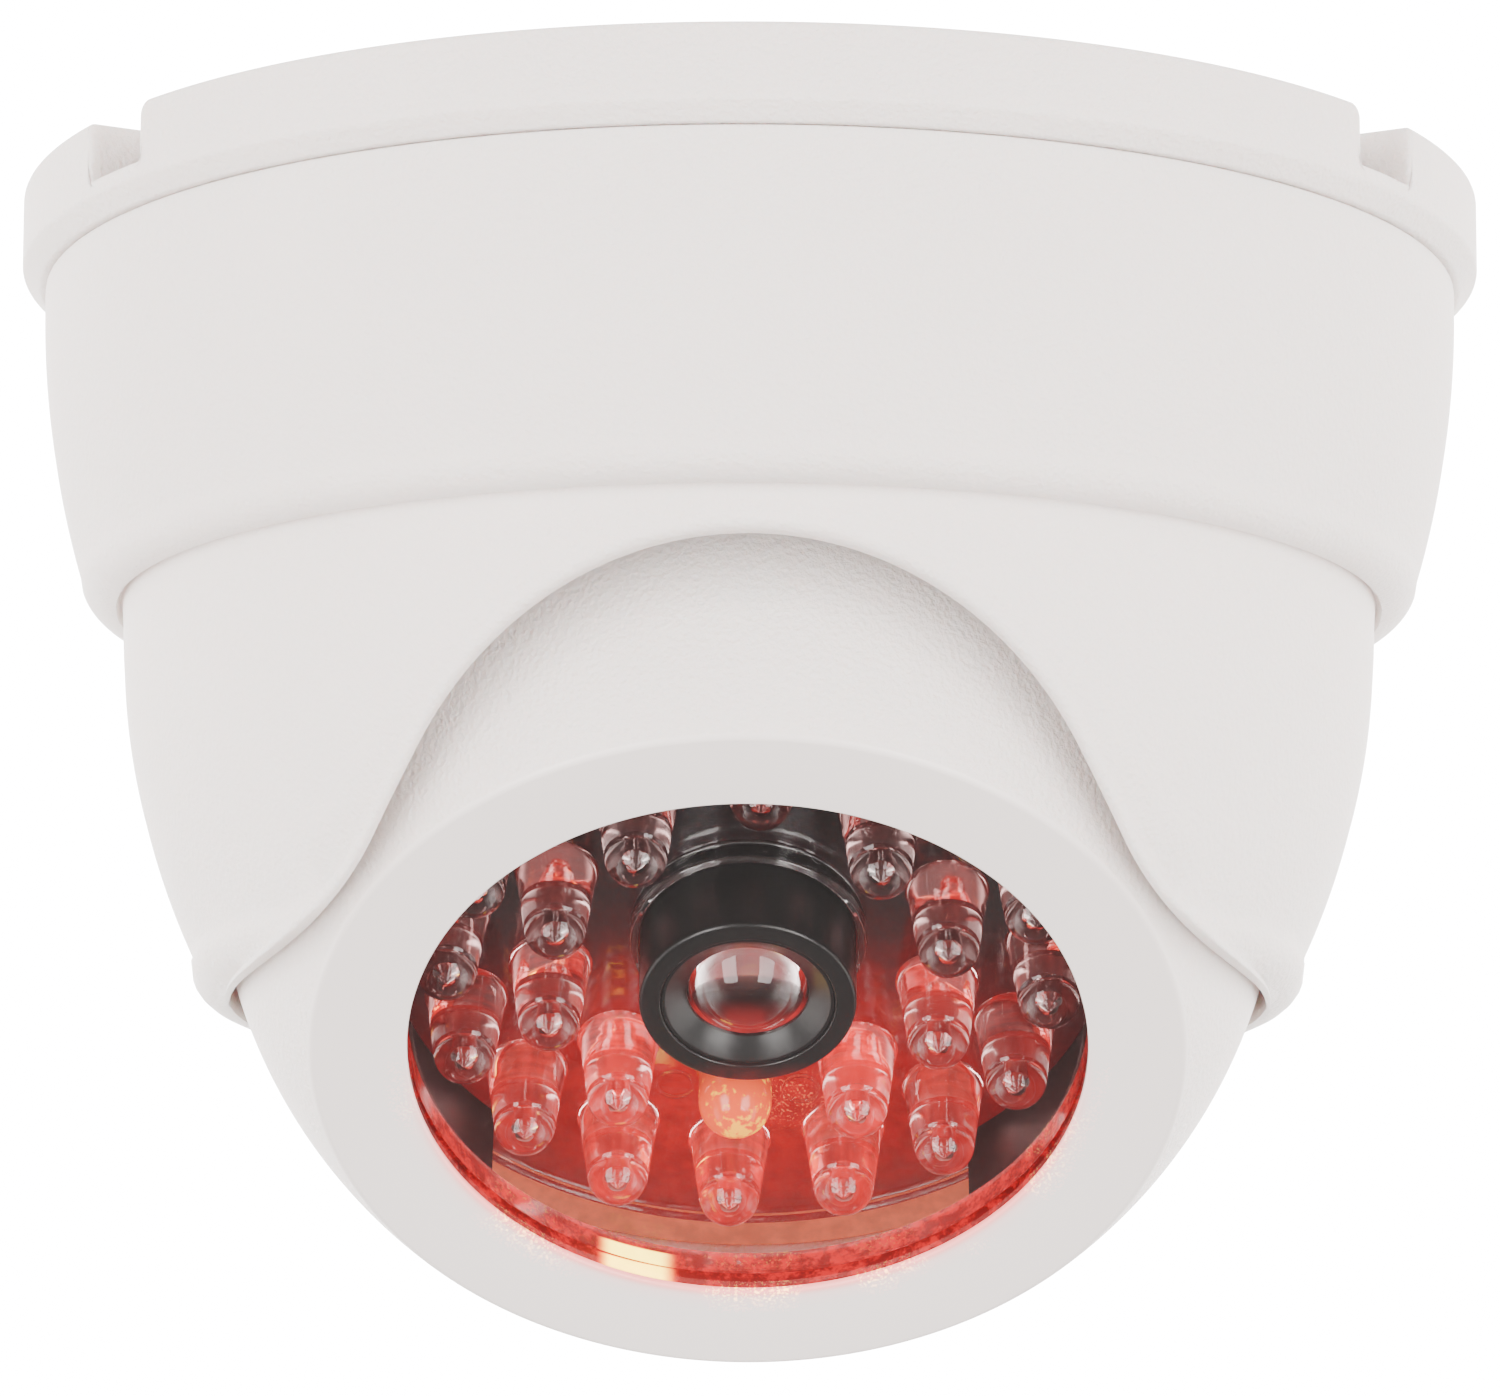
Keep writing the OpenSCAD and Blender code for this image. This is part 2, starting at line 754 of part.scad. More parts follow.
module batteries() {
  color([0.15, 0.35, 0.2]) in_ball()
    for (side = [-1, 1])
      translate([side * contact_u, side * cell_w, cell_k]) rotate([0, -side * 90, 0]) {
        rod(1.9, 0, 1.3);
        rod(cell_r, 1.1, cell_l);
      }
}

module switch_body() {
  color(plastic_black) in_ball()
    difference() {
      block([-switch_half_u, switch_half_u], switch_w, switch_k);
      block([-slot_half_u, slot_half_u], slot_w, [switch_k[0] - over, slot_floor]);
    }
}

module switch_slider() {
  color([0.85, 0.85, 0.85]) in_ball()
    difference() {
      block([-slot_half_u + 0.1, -slot_half_u + 0.1 + slider_l],
        [slot_w[0] + 0.1, slot_w[1] - 0.1], [switch_k[0] - 2.4, slot_floor - 0.1]);
      for (i = [1:3])
        translate([-slot_half_u + 0.1 + slider_l * i / 4, slot_w[0], switch_k[0] - 2.4])
          rotate([-90, 0, 0]) rod(0.22, -over, 4);
    }
}

module red_wires() {
  feed = [[-26.1, 6, -12], [-27.3, 6.2, -8], [-25.8, 7.5, -4.3], [-18, 13, -4.6], [-13, 14.6, -9],
    [-6.45, 14.5, -14]];
  lead = [[-3, 14.5, -12.45], [-3, 14.5, -7.5], [-4, 11.8, -3.8], [-5, 4, -2.4], [-5, -4.6, 0.4],
    [-5, -6.4, 1.4]];
  color([0.75, 0.05, 0.05]) in_ball() {
    wire(smooth_path(feed, 4), wire_r, [0.1, 0.2, 1]);
    wire(smooth_path(lead, 4), wire_r, [1, 0.2, 0.1]);
  }
}

module black_wire() {
  route = [[-26.1, -5, -12], [-28, -7, -10], [-24, -11, -3], [-16, -13, 0], [-9.7, -14, 1.4]];
  color(plastic_black) in_ball()
    wire(smooth_path(route, 4), wire_r, [0.1, 1, 0.3]);
}

mounting_base();
cover();
pivot_clips();
clip_screws();
eye_front_shell();
eye_rear_shell();
shell_screws();
window();
liner_ring();
led_plate();
backing_disc();
plate_carrier();
carrier_screws();
dummy_leds_inner();
dummy_leds_outer();
flash_led();
led_leads();
lens_barrel();
lens_retainer();
lens_dome();
barrel_screw();
driver_board();
driver_chip();
board_parts();
board_screws();
battery_box();
box_screws();
contact_plates();
battery_springs();
batteries();
switch_body();
switch_slider();
red_wires();
black_wire();
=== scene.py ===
"""Looks of the ceiling dome camera.

The white shells, the clear window and everything behind it are modelled here in detail, in
millimetres, in the frame of the CAD. What sits inside the eyeball is modelled along the
eyeball's own axes: u to the right, w up in the plane of the window, k out through the window.
"""

import json
import math

import bmesh
import bpy
import numpy as np
from mathutils import Matrix, Vector


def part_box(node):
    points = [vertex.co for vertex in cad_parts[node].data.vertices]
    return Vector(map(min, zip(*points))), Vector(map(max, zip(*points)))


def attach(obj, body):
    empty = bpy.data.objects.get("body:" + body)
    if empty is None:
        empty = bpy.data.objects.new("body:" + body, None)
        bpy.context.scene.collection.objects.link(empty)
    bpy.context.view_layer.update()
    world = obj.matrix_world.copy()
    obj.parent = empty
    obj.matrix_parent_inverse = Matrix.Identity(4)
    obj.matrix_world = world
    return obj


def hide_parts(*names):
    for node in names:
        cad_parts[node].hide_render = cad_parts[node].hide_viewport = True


MM = 0.001


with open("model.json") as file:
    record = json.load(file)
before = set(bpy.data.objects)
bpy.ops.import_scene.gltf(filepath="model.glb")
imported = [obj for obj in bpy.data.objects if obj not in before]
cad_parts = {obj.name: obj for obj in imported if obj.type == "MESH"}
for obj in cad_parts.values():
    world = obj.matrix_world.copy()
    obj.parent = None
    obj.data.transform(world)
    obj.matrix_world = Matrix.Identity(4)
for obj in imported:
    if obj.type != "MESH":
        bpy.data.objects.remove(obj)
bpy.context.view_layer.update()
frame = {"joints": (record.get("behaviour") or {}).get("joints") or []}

# ---------------------------------------------------------------- places from the frame

joints = {joint["name"]: joint for joint in frame["joints"]}
ball_centre = Vector(joints["eyeball_tilt"]["pos_m"]) / MM
barrel_low, barrel_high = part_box("lens_barrel")
look = ((barrel_low + barrel_high) / 2 / MM - ball_centre).normalized()
IN_BALL = Matrix.Translation(ball_centre) @ Matrix.Rotation(math.atan2(-look.y, look.z), 4, "X")
UPRIGHT = Matrix.Identity(4)


def node_size(node):
    """Width, depth and height of a CAD node, in mm."""
    low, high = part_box(node)
    return (high - low) / MM


base_r = node_size("mounting_base").x / 2
base_h = node_size("mounting_base").z
bowl_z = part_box("cover")[0].z / MM
plate_r = node_size("led_plate").x / 2
barrel_r = node_size("lens_barrel").x / 2

# cover
cover_top = -6.38
housing_r = 48.4
flank_top = -8.0
flank_curve = 62.5
shoulder_z = -26.3
shoulder_fillet = 2.3
crease_z = -27.7
bowl_r = 42.7
bowl_top = -30.0
bowl_curve = 52.0
corner_fillet = 2.4
corner_c = (35.4, -53.1)
lip_in = 35.05
cover_wall = 2.2
arch_z = -31.4
arch_r = 24.6
arch_slope = math.radians(60)
flare_r = 13.0

# eyeball, in its own frame
ball_r = 36.3
ball_wall = 2.2
parting_k = -5.0
flat_x = 34.8
bezel_r = 29.0
bezel_k = math.sqrt(ball_r**2 - bezel_r**2)
bezel_edge_k = 21.25
window_r = 22.6
window_seat_r = 24.1
lip_k = 20.8
skirt_k = 17.4
rear_hole_r = 24.0
plate_k = 7.5
plate_front = 9.0
backing_k = 6.7
plate_turn = 3.5
inner_ring = (13.8, 10)
outer_ring = (20.2, 16)
led_foot_r = 2.7
led_tip_r = 2.1
led_tip_k = 14.5
liner_gap = 41.5
short_by = 3.3
barrel_front = 16.4
lens_seat_k = 14.8
lens_top_k = 17.3
lens_dome_r = 3.95

# screws and what they go into: angles in degrees, and places across the eyeball
SHELL_POSTS = (25, 155, 225, 315)
CARRIER_POSTS = (90, 210, 330)
THIRDS = (0, 120, 240)
board_screw = (7.0, -9.5)
box_screw_x = 29.3
board_low = 0.8

# the cover's hooks, each as half its angle, and the round seats of the pivot pins
hook_half = 11
pivot_seat_r = 2.55

# ---------------------------------------------------------------- outlines


def arc(cx, cy, r, start, end, n):
    """Points of an arc; angles in degrees."""
    angles = np.radians(np.linspace(start, end, n))
    return [(cx + r * math.cos(a), cy + r * math.sin(a)) for a in angles]


def rounded(corners, n=5):
    """A closed outline through (x, y, radius) corners, each rounded by an arc of its radius."""
    points = []
    for i, (x, y, r) in enumerate(corners):
        if r <= 0:
            points.append((x, y))
            continue
        p = Vector((x, y))
        a = Vector(corners[i - 1][:2]) - p
        b = Vector(corners[(i + 1) % len(corners)][:2]) - p
        half = a.angle(b) / 2
        if half < 0.01 or abs(half - math.pi / 2) < 0.01:
            points.append((x, y))
            continue
        reach = min(r / math.tan(half), 0.48 * a.length, 0.48 * b.length)
        r = reach * math.tan(half)
        centre = p + (a.normalized() + b.normalized()).normalized() * (r / math.sin(half))
        start = p + a.normalized() * reach - centre
        turn = (p + b.normalized() * reach - centre).angle_signed(start)
        for step in range(n + 1):
            spoke = Matrix.Rotation(turn * step / n, 2) @ start
            points.append(tuple(centre + spoke))
    return points


def polar(r, a, z):
    """The point at radius r and height z; angle a, in radians, is 0 at the front (-Y)."""
    return Vector((r * math.sin(a), -r * math.cos(a), z))


def shift(x, y, z):
    """The place x, y, z, not turned."""
    return Matrix.Translation((x, y, z))


def on_circle(degrees, radius, z=0.0):
    """The place at an angle on a circle round the axis, turned with the angle; 0 is to the right."""
    return Matrix.Rotation(math.radians(degrees), 4, "Z") @ shift(radius, 0, z)


# ---------------------------------------------------------------- meshes


def grid_faces(rows, columns, close_rows, close_columns):
    """Faces of a grid of points stored column by column."""
    faces = []
    for c in range(columns if close_columns else columns - 1):
        for r in range(rows if close_rows else rows - 1):
            c2, r2 = (c + 1) % columns, (r + 1) % rows
            faces.append((c * rows + r, c * rows + r2, c2 * rows + r2, c2 * rows + r))
    return faces


def lathe(profile, steps=128, start=0.0, end=360.0):
    """A profile of (radius, height) turned about the axis; angle 0 is the front (-Y).
    A profile that starts and ends on the axis is open there, any other is a closed loop."""
    whole = abs(end - start) >= 359.9
    poles = profile[0][0] < 1e-6 and profile[-1][0] < 1e-6
    angles = np.radians(np.linspace(start, end, steps, endpoint=not whole))
    ring = profile[1:-1] if poles else profile
    verts = [
        (r * math.sin(a), -r * math.cos(a), z) for a in angles for r, z in ring
    ]
    faces = grid_faces(len(ring), len(angles), not poles, whole)
    if poles:
        for tip, row in ((profile[0], 0), (profile[-1], len(ring) - 1)):
            verts.append((0, 0, tip[1]))
            for c in range(len(angles)):
                c2 = (c + 1) % len(angles)
                faces.append((c * len(ring) + row, c2 * len(ring) + row, len(verts) - 1))
    elif not whole:
        faces.append(tuple(range(len(ring))))
        faces.append(tuple(range(len(verts) - 1, len(verts) - 1 - len(ring), -1)))
    return verts, faces


def rod(r, z0, z1, edge=0.15, steps=48):
    """A round rod along the axis with softened edges."""
    return lathe(rounded([(0, z0, 0), (r, z0, edge), (r, z1, edge), (0, z1, 0)]), steps)


def tube(r_out, r_in, z0, z1, edge=0.15, steps=96, start=0.0, end=360.0):
    """A ring, or a part of one, with softened edges."""
    corners = [(r_in, z0, edge), (r_out, z0, edge), (r_out, z1, edge), (r_in, z1, edge)]
    return lathe(rounded(corners, 3), steps, start, end)


def block(x, y, z, edge=0.2):
    """A box with softened edges; x, y and z are (low, high)."""
    bm = bmesh.new()
    bmesh.ops.create_cube(bm, size=1)
    for v in bm.verts:
        v.co = Vector([(s[0] + s[1]) / 2 + c * (s[1] - s[0]) for s, c in zip((x, y, z), v.co)])
    bmesh.ops.bevel(bm, geom=bm.edges[:], offset=edge, segments=3, profile=0.5, affect="EDGES")
    return from_bmesh(bm)


def from_bmesh(bm):
    """Points and faces of a bmesh, which is freed."""
    bm.verts.index_update()
    verts = [tuple(v.co) for v in bm.verts]
    faces = [tuple(v.index for v in f.verts) for f in bm.faces]
    bm.free()
    return verts, faces


def sheet_with_holes(loops, z0, z1, edge=0.1):
    """A flat plate from closed outlines: the first is its edge, the others are holes."""
    curve = bpy.data.curves.new("outline", "CURVE")
    curve.dimensions = "2D"
    curve.fill_mode = "BOTH"
    curve.extrude = (z1 - z0) / 2 - edge
    curve.bevel_depth = edge
    curve.bevel_resolution = 1
    for loop in loops:
        spline = curve.splines.new("POLY")
        spline.points.add(len(loop) - 1)
        for point, (x, y) in zip(spline.points, loop):
            point.co = (x, y, 0, 1)
        spline.use_cyclic_u = True
    curve.offset = -edge
    holder = bpy.data.objects.new("outline", curve)
    bpy.context.scene.collection.objects.link(holder)
    mesh = bpy.data.meshes.new_from_object(holder.evaluated_get(bpy.context.evaluated_depsgraph_get()))
    middle = (z0 + z1) / 2
    verts = [(v.co.x, v.co.y, v.co.z + middle) for v in mesh.vertices]
    faces = [tuple(p.vertices) for p in mesh.polygons]
    bpy.data.objects.remove(holder)
    bpy.data.curves.remove(curve)
    bpy.data.meshes.remove(mesh)
    return verts, faces


def circle(x, y, r, n=64):
    """A closed round outline."""
    angles = np.linspace(0, 2 * math.pi, n, endpoint=False)
    return [(x + r * math.cos(a), y + r * math.sin(a)) for a in angles]


def moved(part, matrix):
    """The part in another place."""
    verts, faces = part
    return [tuple(matrix @ Vector(v)) for v in verts], faces


def inside_out(part):
    """The part marked as the wall of a hollow."""
    return part[0], part[1], "hollow"


def smooth_path(points, n=8):
    """A smooth line through given points (Catmull-Rom)."""
    p = [Vector(q) for q in points]
    line = []
    for i in range(len(p) - 1):
        a, b, c, d = p[max(i - 1, 0)], p[i], p[i + 1], p[min(i + 2, len(p) - 1)]
        for j in range(n):
            t = j / n
            line.append(0.5 * (2 * b + (c - a) * t + (2 * a - 5 * b + 4 * c - d) * t * t
                               + (3 * b - 3 * c + d - a) * t**3))
    return line + [p[-1]]


def wire(points, r, sides=12):
    """A round wire along a line of points."""
    verts, normal = [], None
    for i, point in enumerate(points):
        ahead = (points[min(i + 1, len(points) - 1)] - points[max(i - 1, 0)]).normalized()
        normal = ahead.orthogonal() if normal is None else normal - ahead * normal.dot(ahead)
        normal.normalize()
        side = ahead.cross(normal)
        for s in range(sides):
            a = 2 * math.pi * s / sides
            verts.append(tuple(point + r * (math.cos(a) * normal + math.sin(a) * side)))
    faces = grid_faces(sides, len(points), True, False)
    faces += [tuple(range(sides)), tuple(range(len(verts) - 1, len(verts) - 1 - sides, -1))]
    return verts, faces


def pan_screw(head_r, head_h, r, length, pitch=0.5):
    """A pan head screw with a cross recess and a thread; its head's underside is at 0."""
    dome = [(0, -head_h)] + [
        (head_r * math.sin(a), -head_h * (0.35 + 0.65 * math.cos(a)))
        for a in np.linspace(0.25, math.pi / 2, 7)
    ]
    thread = []
    for i in range(int(length / pitch)):
        z = pitch * i
        thread += [(r * 0.8, z + pitch * 0.1), (r, z + pitch * 0.5), (r * 0.8, z + pitch * 0.9)]
    profile = dome + [(head_r, 0), (r, 0)] + thread + [(r * 0.3, length), (0, length)]
    verts, faces = lathe(profile, 32)
    sunk = []
    for x, y, z in verts:
        if z < -head_h * 0.4:
            near = min(abs(x), abs(y))
            far = max(abs(x), abs(y))
            if near < head_r * 0.16 and far < head_r * 0.62:
                z += head_h * 0.4
        sunk.append((x, y, z))
    return sunk, faces


def piece(name, parts, materials, body, nodes, place=UPRIGHT, sharp=35):
    """One Blender object made of closed parts. A part is (points, faces), with "hollow" or a
    list of material numbers, one for each face, as an optional third item. Edges that turn by
    more than the sharp angle, in degrees, aren't smoothed."""
    verts, faces, numbers = [], [], []
    for part in parts:
        extra = part[2] if len(part) > 2 else None
        bm = bmesh.new()
        made = [bm.verts.new(v) for v in part[0]]
        layer = bm.faces.layers.int.new("number")
        for i, f in enumerate(part[1]):
            try:
                face = bm.faces.new([made[j] for j in f])
            except ValueError:
                continue
            if isinstance(extra, list):
                face[layer] = extra[i]
        bmesh.ops.recalc_face_normals(bm, faces=bm.faces[:])
        if extra == "hollow":
            bmesh.ops.reverse_faces(bm, faces=bm.faces[:])
        offset = len(verts)
        bm.verts.index_update()
        verts += [v.co.copy() for v in bm.verts]
        faces += [[offset + v.index for v in f.verts] for f in bm.faces]
        numbers += [f[layer] for f in bm.faces]
        bm.free()
    mesh = bpy.data.meshes.new(name)
    mesh.from_pydata([place @ v * MM for v in verts], [], faces)
    for material in materials:
        mesh.materials.append(material)
    mesh.polygons.foreach_set("material_index", numbers)
    mesh.shade_smooth()
    mesh.set_sharp_from_angle(angle=math.radians(sharp))
    obj = bpy.data.objects.new(name, mesh)
    bpy.context.scene.collection.objects.link(obj)
    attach(obj, body)
    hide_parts(*nodes)


def ball_piece(name, parts, material, node):
    """A piece of one material that rides on the eyeball."""
    piece(name, parts, [material], "eyeball", [node], IN_BALL)


# ---------------------------------------------------------------- materials


def new_material(name, colour, roughness, **inputs):
    """A Principled material; its other inputs are set by name."""
    material = bpy.data.materials.new(name)
    material.use_nodes = True
    shader = material.node_tree.nodes["Principled BSDF"]
    shader.inputs["Base Color"].default_value = (*colour, 1)
    shader.inputs["Roughness"].default_value = roughness
    for key, value in inputs.items():
        shader.inputs[key.replace("_", " ")].default_value = value
    return material


class Nodes:
    """Short calls for building a material's nodes."""

    def __init__(self, material):
        self.tree = material.node_tree
        self.shader = self.tree.nodes["Principled BSDF"]
        self.place = self.tree.nodes.new("ShaderNodeTexCoord").outputs["Object"]

    def put(self, value, socket):
        """Links a socket, or sets a constant."""
        if isinstance(value, bpy.types.NodeSocket):
            self.tree.links.new(value, socket)
        else:
            socket.default_value = value

    def math(self, operation, a, b=0.0):
        """One step of arithmetic."""
        node = self.tree.nodes.new("ShaderNodeMath")
        node.operation = operation
        for value, socket in zip((a, b), node.inputs):
            self.put(value, socket)
        return node.outputs[0]

    def times(self, first, *others):
        """The product of two or more values."""
        for other in others:
            first = self.math("MULTIPLY", first, other)
        return first

    def plus(self, a, b):
        """The sum of two values."""
        return self.math("ADD", a, b)

    def dot(self, vector, constant):
        """How far a vector reaches along a constant one."""
        node = self.tree.nodes.new("ShaderNodeVectorMath")
        node.operation = "DOT_PRODUCT"
        self.put(vector, node.inputs[0])
        node.inputs[1].default_value = constant
        return node.outputs["Value"]

    def noise(self, size_mm, detail=2.0, roughness=0.5, vector=None):
        """Cloudy noise with lumps of about the given size."""
        node = self.tree.nodes.new("ShaderNodeTexNoise")
        self.put(self.place if vector is None else vector, node.inputs["Vector"])
        node.inputs["Scale"].default_value = 1 / (size_mm * MM)
        node.inputs["Detail"].default_value = detail
        node.inputs["Roughness"].default_value = roughness
        return node.outputs["Fac"]

    def cells(self, size_mm):
        """The distance from the middle of irregular cells of the given size."""
        node = self.tree.nodes.new("ShaderNodeTexVoronoi")
        self.put(self.place, node.inputs["Vector"])
        node.inputs["Scale"].default_value = 1 / (size_mm * MM)
        return node.outputs["Distance"]

    def ramp(self, value, low, high, out_low=0.0, out_high=1.0):
        """A smooth step from one value to another, between two limits."""
        node = self.tree.nodes.new("ShaderNodeMapRange")
        node.interpolation_type = "SMOOTHSTEP"
        for number, socket in zip((value, low, high, out_low, out_high), node.inputs):
            self.put(number, socket)
        return node.outputs[0]

    def mix(self, factor, a, b):
        """A colour between two others."""
        node = self.tree.nodes.new("ShaderNodeMix")
        node.data_type = "RGBA"
        self.put(factor, node.inputs[0])
        for value, socket in ((a, node.inputs[6]), (b, node.inputs[7])):
            self.put(value if isinstance(value, bpy.types.NodeSocket) else (*value, 1), socket)
        return node.outputs[2]

    def bump(self, height, distance_mm, strength=1.0):
        """Fine relief on the surface."""
        node = self.tree.nodes.new("ShaderNodeBump")
        self.put(height, node.inputs["Height"])
        node.inputs["Distance"].default_value = distance_mm * MM
        node.inputs["Strength"].default_value = strength
        self.tree.links.new(node.outputs[0], self.shader.inputs["Normal"])

    def to(self, value, name):
        """Sets or links one of the shader's inputs."""
        self.put(value, self.shader.inputs[name])

    def ball_axes(self):
        """The point's u, w and k in mm, in the eyeball's frame at rest."""
        turn = IN_BALL.to_3x3()
        values = []
        for axis in (turn.col[0], turn.col[1], turn.col[2]):
            along = self.dot(self.place, tuple(axis / MM))
            values.append(self.math("SUBTRACT", along, float(axis.dot(ball_centre))))
        return values

    def join(self, x, y, z):
        """A vector from three numbers."""
        node = self.tree.nodes.new("ShaderNodeCombineXYZ")
        for value, socket in zip((x, y, z), node.inputs):
            self.put(value, socket)
        return node.outputs[0]

    def distance(self, a, b, at=(0.0, 0.0)):
        """The distance in mm from a point given by two of the coordinates."""
        da, db = self.math("SUBTRACT", a, at[0]), self.math("SUBTRACT", b, at[1])
        return self.math("SQRT", self.plus(self.times(da, da), self.times(db, db)))


WHITE = (0.84, 0.775, 0.745)


def grained_white():
    """White plastic with the fine matt grain of an eroded mould; light passes a little into it."""
    material = new_material("white_grained", WHITE, 0.5, Specular_IOR_Level=0.4, Subsurface_Weight=0.3,
                            Subsurface_Radius=(2.0, 1.1, 0.8), Subsurface_Scale=MM)
    n = Nodes(material)
    fine = n.noise(0.32, 3.0, 0.6)
    pits = n.cells(0.45)
    n.bump(n.plus(fine, n.times(pits, 0.5)), 0.25, 0.6)
    n.to(n.ramp(fine, 0.3, 0.7, 0.46, 0.58), "Roughness")
    clouds = n.ramp(n.noise(14.0, 2.0), 0.35, 0.65)
    n.to(n.mix(clouds, WHITE, tuple(c * 0.985 for c in WHITE)), "Base Color")
    return material


def smooth_white():
    """The smooth white of the bezel, with the red light that shines through beside the window painted on: a
    red glow, a pinkish colour and glints.
    """
    material = new_material("white_smooth", WHITE, 0.32, Specular_IOR_Level=0.45)
    n = Nodes(material)
    fine = n.noise(0.5, 2.0)
    n.bump(fine, 0.01, 0.3)
    n.to(n.ramp(n.noise(3.0), 0.3, 0.7, 0.28, 0.38), "Roughness")
    # painted light: a red glow and pinkish colour beside the window, strongest low down, stand in for the
    # flashing LED's light
    u, w, _ = n.ball_axes()
    r = n.distance(u, w)
    wide = n.ramp(r, window_r, window_r + 2.4, 0.45, 0.0)
    narrow = n.ramp(r, window_r, window_r + 0.7, 0.55, 0.0)
    near = n.plus(wide, narrow)
    low = n.ramp(w, -14.0, 2.0, 1.0, 0.0)
    glow = n.times(near, near, low)
    # painted glints: orange and red sparks in patches near the window's edge
    glints = n.ramp(n.noise(0.22, 2.0, 0.7), 0.53, 0.63)
    edge = n.ramp(r, window_r + 0.3, window_r + 2.0, 1.0, 0.0)
    patches = n.ramp(n.noise(6.0, 1.0), 0.45, 0.6)
    spark = n.times(glints, edge, low, patches)
    n.to(n.mix(spark, (1.0, 0.07, 0.06), (1.0, 0.55, 0.12)), "Emission Color")
    n.to(n.plus(n.times(glow, 1.3), n.times(spark, 5.0)), "Emission Strength")
    n.to(n.mix(glow, WHITE, (0.75, 0.35, 0.33)), "Base Color")
    return material


def black_plastic(name, roughness=0.32, colour=(0.007, 0.006, 0.006)):
    """Black moulded plastic with fine scratches and a little dust."""
    material = new_material(name, colour, roughness)
    n = Nodes(material)
    fine = n.noise(0.25, 3.0)
    n.bump(fine, 0.004, 0.12)
    n.to(n.ramp(n.noise(2.0, 3.0), 0.35, 0.7, roughness - 0.01, roughness + 0.02), "Roughness")
    dust = n.ramp(n.noise(0.2, 1.0), 0.80, 0.84)
    n.to(n.mix(n.times(dust, 0.5), colour, (0.25, 0.23, 0.22)), "Base Color")
    return material


def clear_plastic(name, roughness=0.02, tint=(0.97, 0.96, 0.96), glow=0.0):
    """Clear moulded plastic with the soft waviness of an injection moulding. With glow, it gets painted red
    light from the flashing LED: a pinkish colour below the tip and a red glow in streaks.
    """
    material = new_material(name, tint, roughness, Transmission_Weight=1.0, IOR=1.49)
    n = Nodes(material)
    n.bump(n.noise(1.6, 1.0), 0.03, 0.5)
    n.to(n.ramp(n.noise(0.7, 2.0), 0.3, 0.7, roughness, roughness + 0.05), "Roughness")
    if glow:
        # painted light: pinkish colour below the tip and a streaky red glow, strongest near the flashing LED,
        # low down and towards the foot
        u, w, k = n.ball_axes()
        n.to(n.mix(n.ramp(k, 13.6, 14.8), (1.0, 0.5, 0.48), tint), "Base Color")
        lit = n.ramp(n.distance(u, w, FLASH_AT), 3.0, 24.0, 1.0, 0.08)
        low = n.times(n.ramp(w, -8.0, 14.0, 1.0, 0.3), n.ramp(k, 13.4, 15.2, 1.0, 0.12))
        along_body = n.join(u, w, n.times(k, 0.12))
        glow_streaks = n.ramp(n.noise(1 / MM, 2.0, 0.5, along_body), 0.35, 0.68, 0.25, 1.7)
        n.to((1.0, 0.02, 0.02, 1), "Emission Color")
        n.to(n.times(lit, low, glow_streaks, glow), "Emission Strength")
    return material


def painted_red_glow(material, full, none, strength):
    """Adds painted red light, a glow standing for the flashing LED's light, on a part's lower side: full at
    one height w, none at the other.
    """
    n = Nodes(material)
    _, w, _ = n.ball_axes()
    mottled = n.ramp(n.noise(1.5), 0.35, 0.65, 0.5, 1.2)
    n.to((1.0, 0.03, 0.03, 1), "Emission Color")
    n.to(n.times(n.ramp(w, full, none, 1.0, 0.0), mottled, strength), "Emission Strength")


def window_plastic():
    """The thin clear pane: what is behind it shows, and it mirrors a little of what is below."""
    material = new_material("window_clear", (1, 1, 1), 0.02, Metallic=1.0)
    n = Nodes(material)
    weight = n.tree.nodes.new("ShaderNodeLayerWeight")
    weight.inputs["Blend"].default_value = 0.5
    sheen = n.math("POWER", weight.outputs["Facing"], 4.0)
    n.to(n.plus(n.times(sheen, 0.6), 0.055), "Alpha")
    n.bump(n.noise(9.0, 1.0), 0.02, 0.3)
    n.to(n.ramp(n.noise(0.6, 3.0), 0.4, 0.8, 0.02, 0.08), "Roughness")
    return material


def lit_from_flash(name, colour, roughness, strength, reach, floor, sparkle=0.0, tone=(1.0, 0.0, 0.004)):
    """A surface with painted red light from the flashing LED: in full near it, by floor at its reach; sparkle
    adds painted glints round one spot.
    """
    material = new_material(name, colour, roughness)
    n = Nodes(material)
    u, w, _ = n.ball_axes()
    # painted light: the flashing LED's red light, in streaks, fading with distance and height
    lit = n.ramp(n.distance(u, w, FLASH_AT), 1.0, reach, 1.0, floor)
    low = n.ramp(w, -17.0, 3.0, 1.0, 0.07)
    light_streak = n.ramp(n.noise(1.4, 3.0, 0.6), 0.3, 0.75, 0.75, 1.15)
    total = n.times(lit, low, strength, light_streak)
    if sparkle:
        # painted glints round one spot
        glint_dots = n.ramp(n.noise(0.16, 1.5, 0.7), 0.58, 0.68)
        spark = n.times(glint_dots, n.ramp(n.distance(u, w, GLINTS_AT), 1.0, 4.0, 1.0, 0.04))
        n.to(n.mix(spark, tone, (1.0, 0.22, 0.08)), "Emission Color")
        total = n.plus(total, n.times(spark, sparkle))
    else:
        n.to((*tone, 1), "Emission Color")
    n.to(total, "Emission Strength")
    n.bump(n.noise(0.4, 2.0), 0.02, 0.3)
    return material


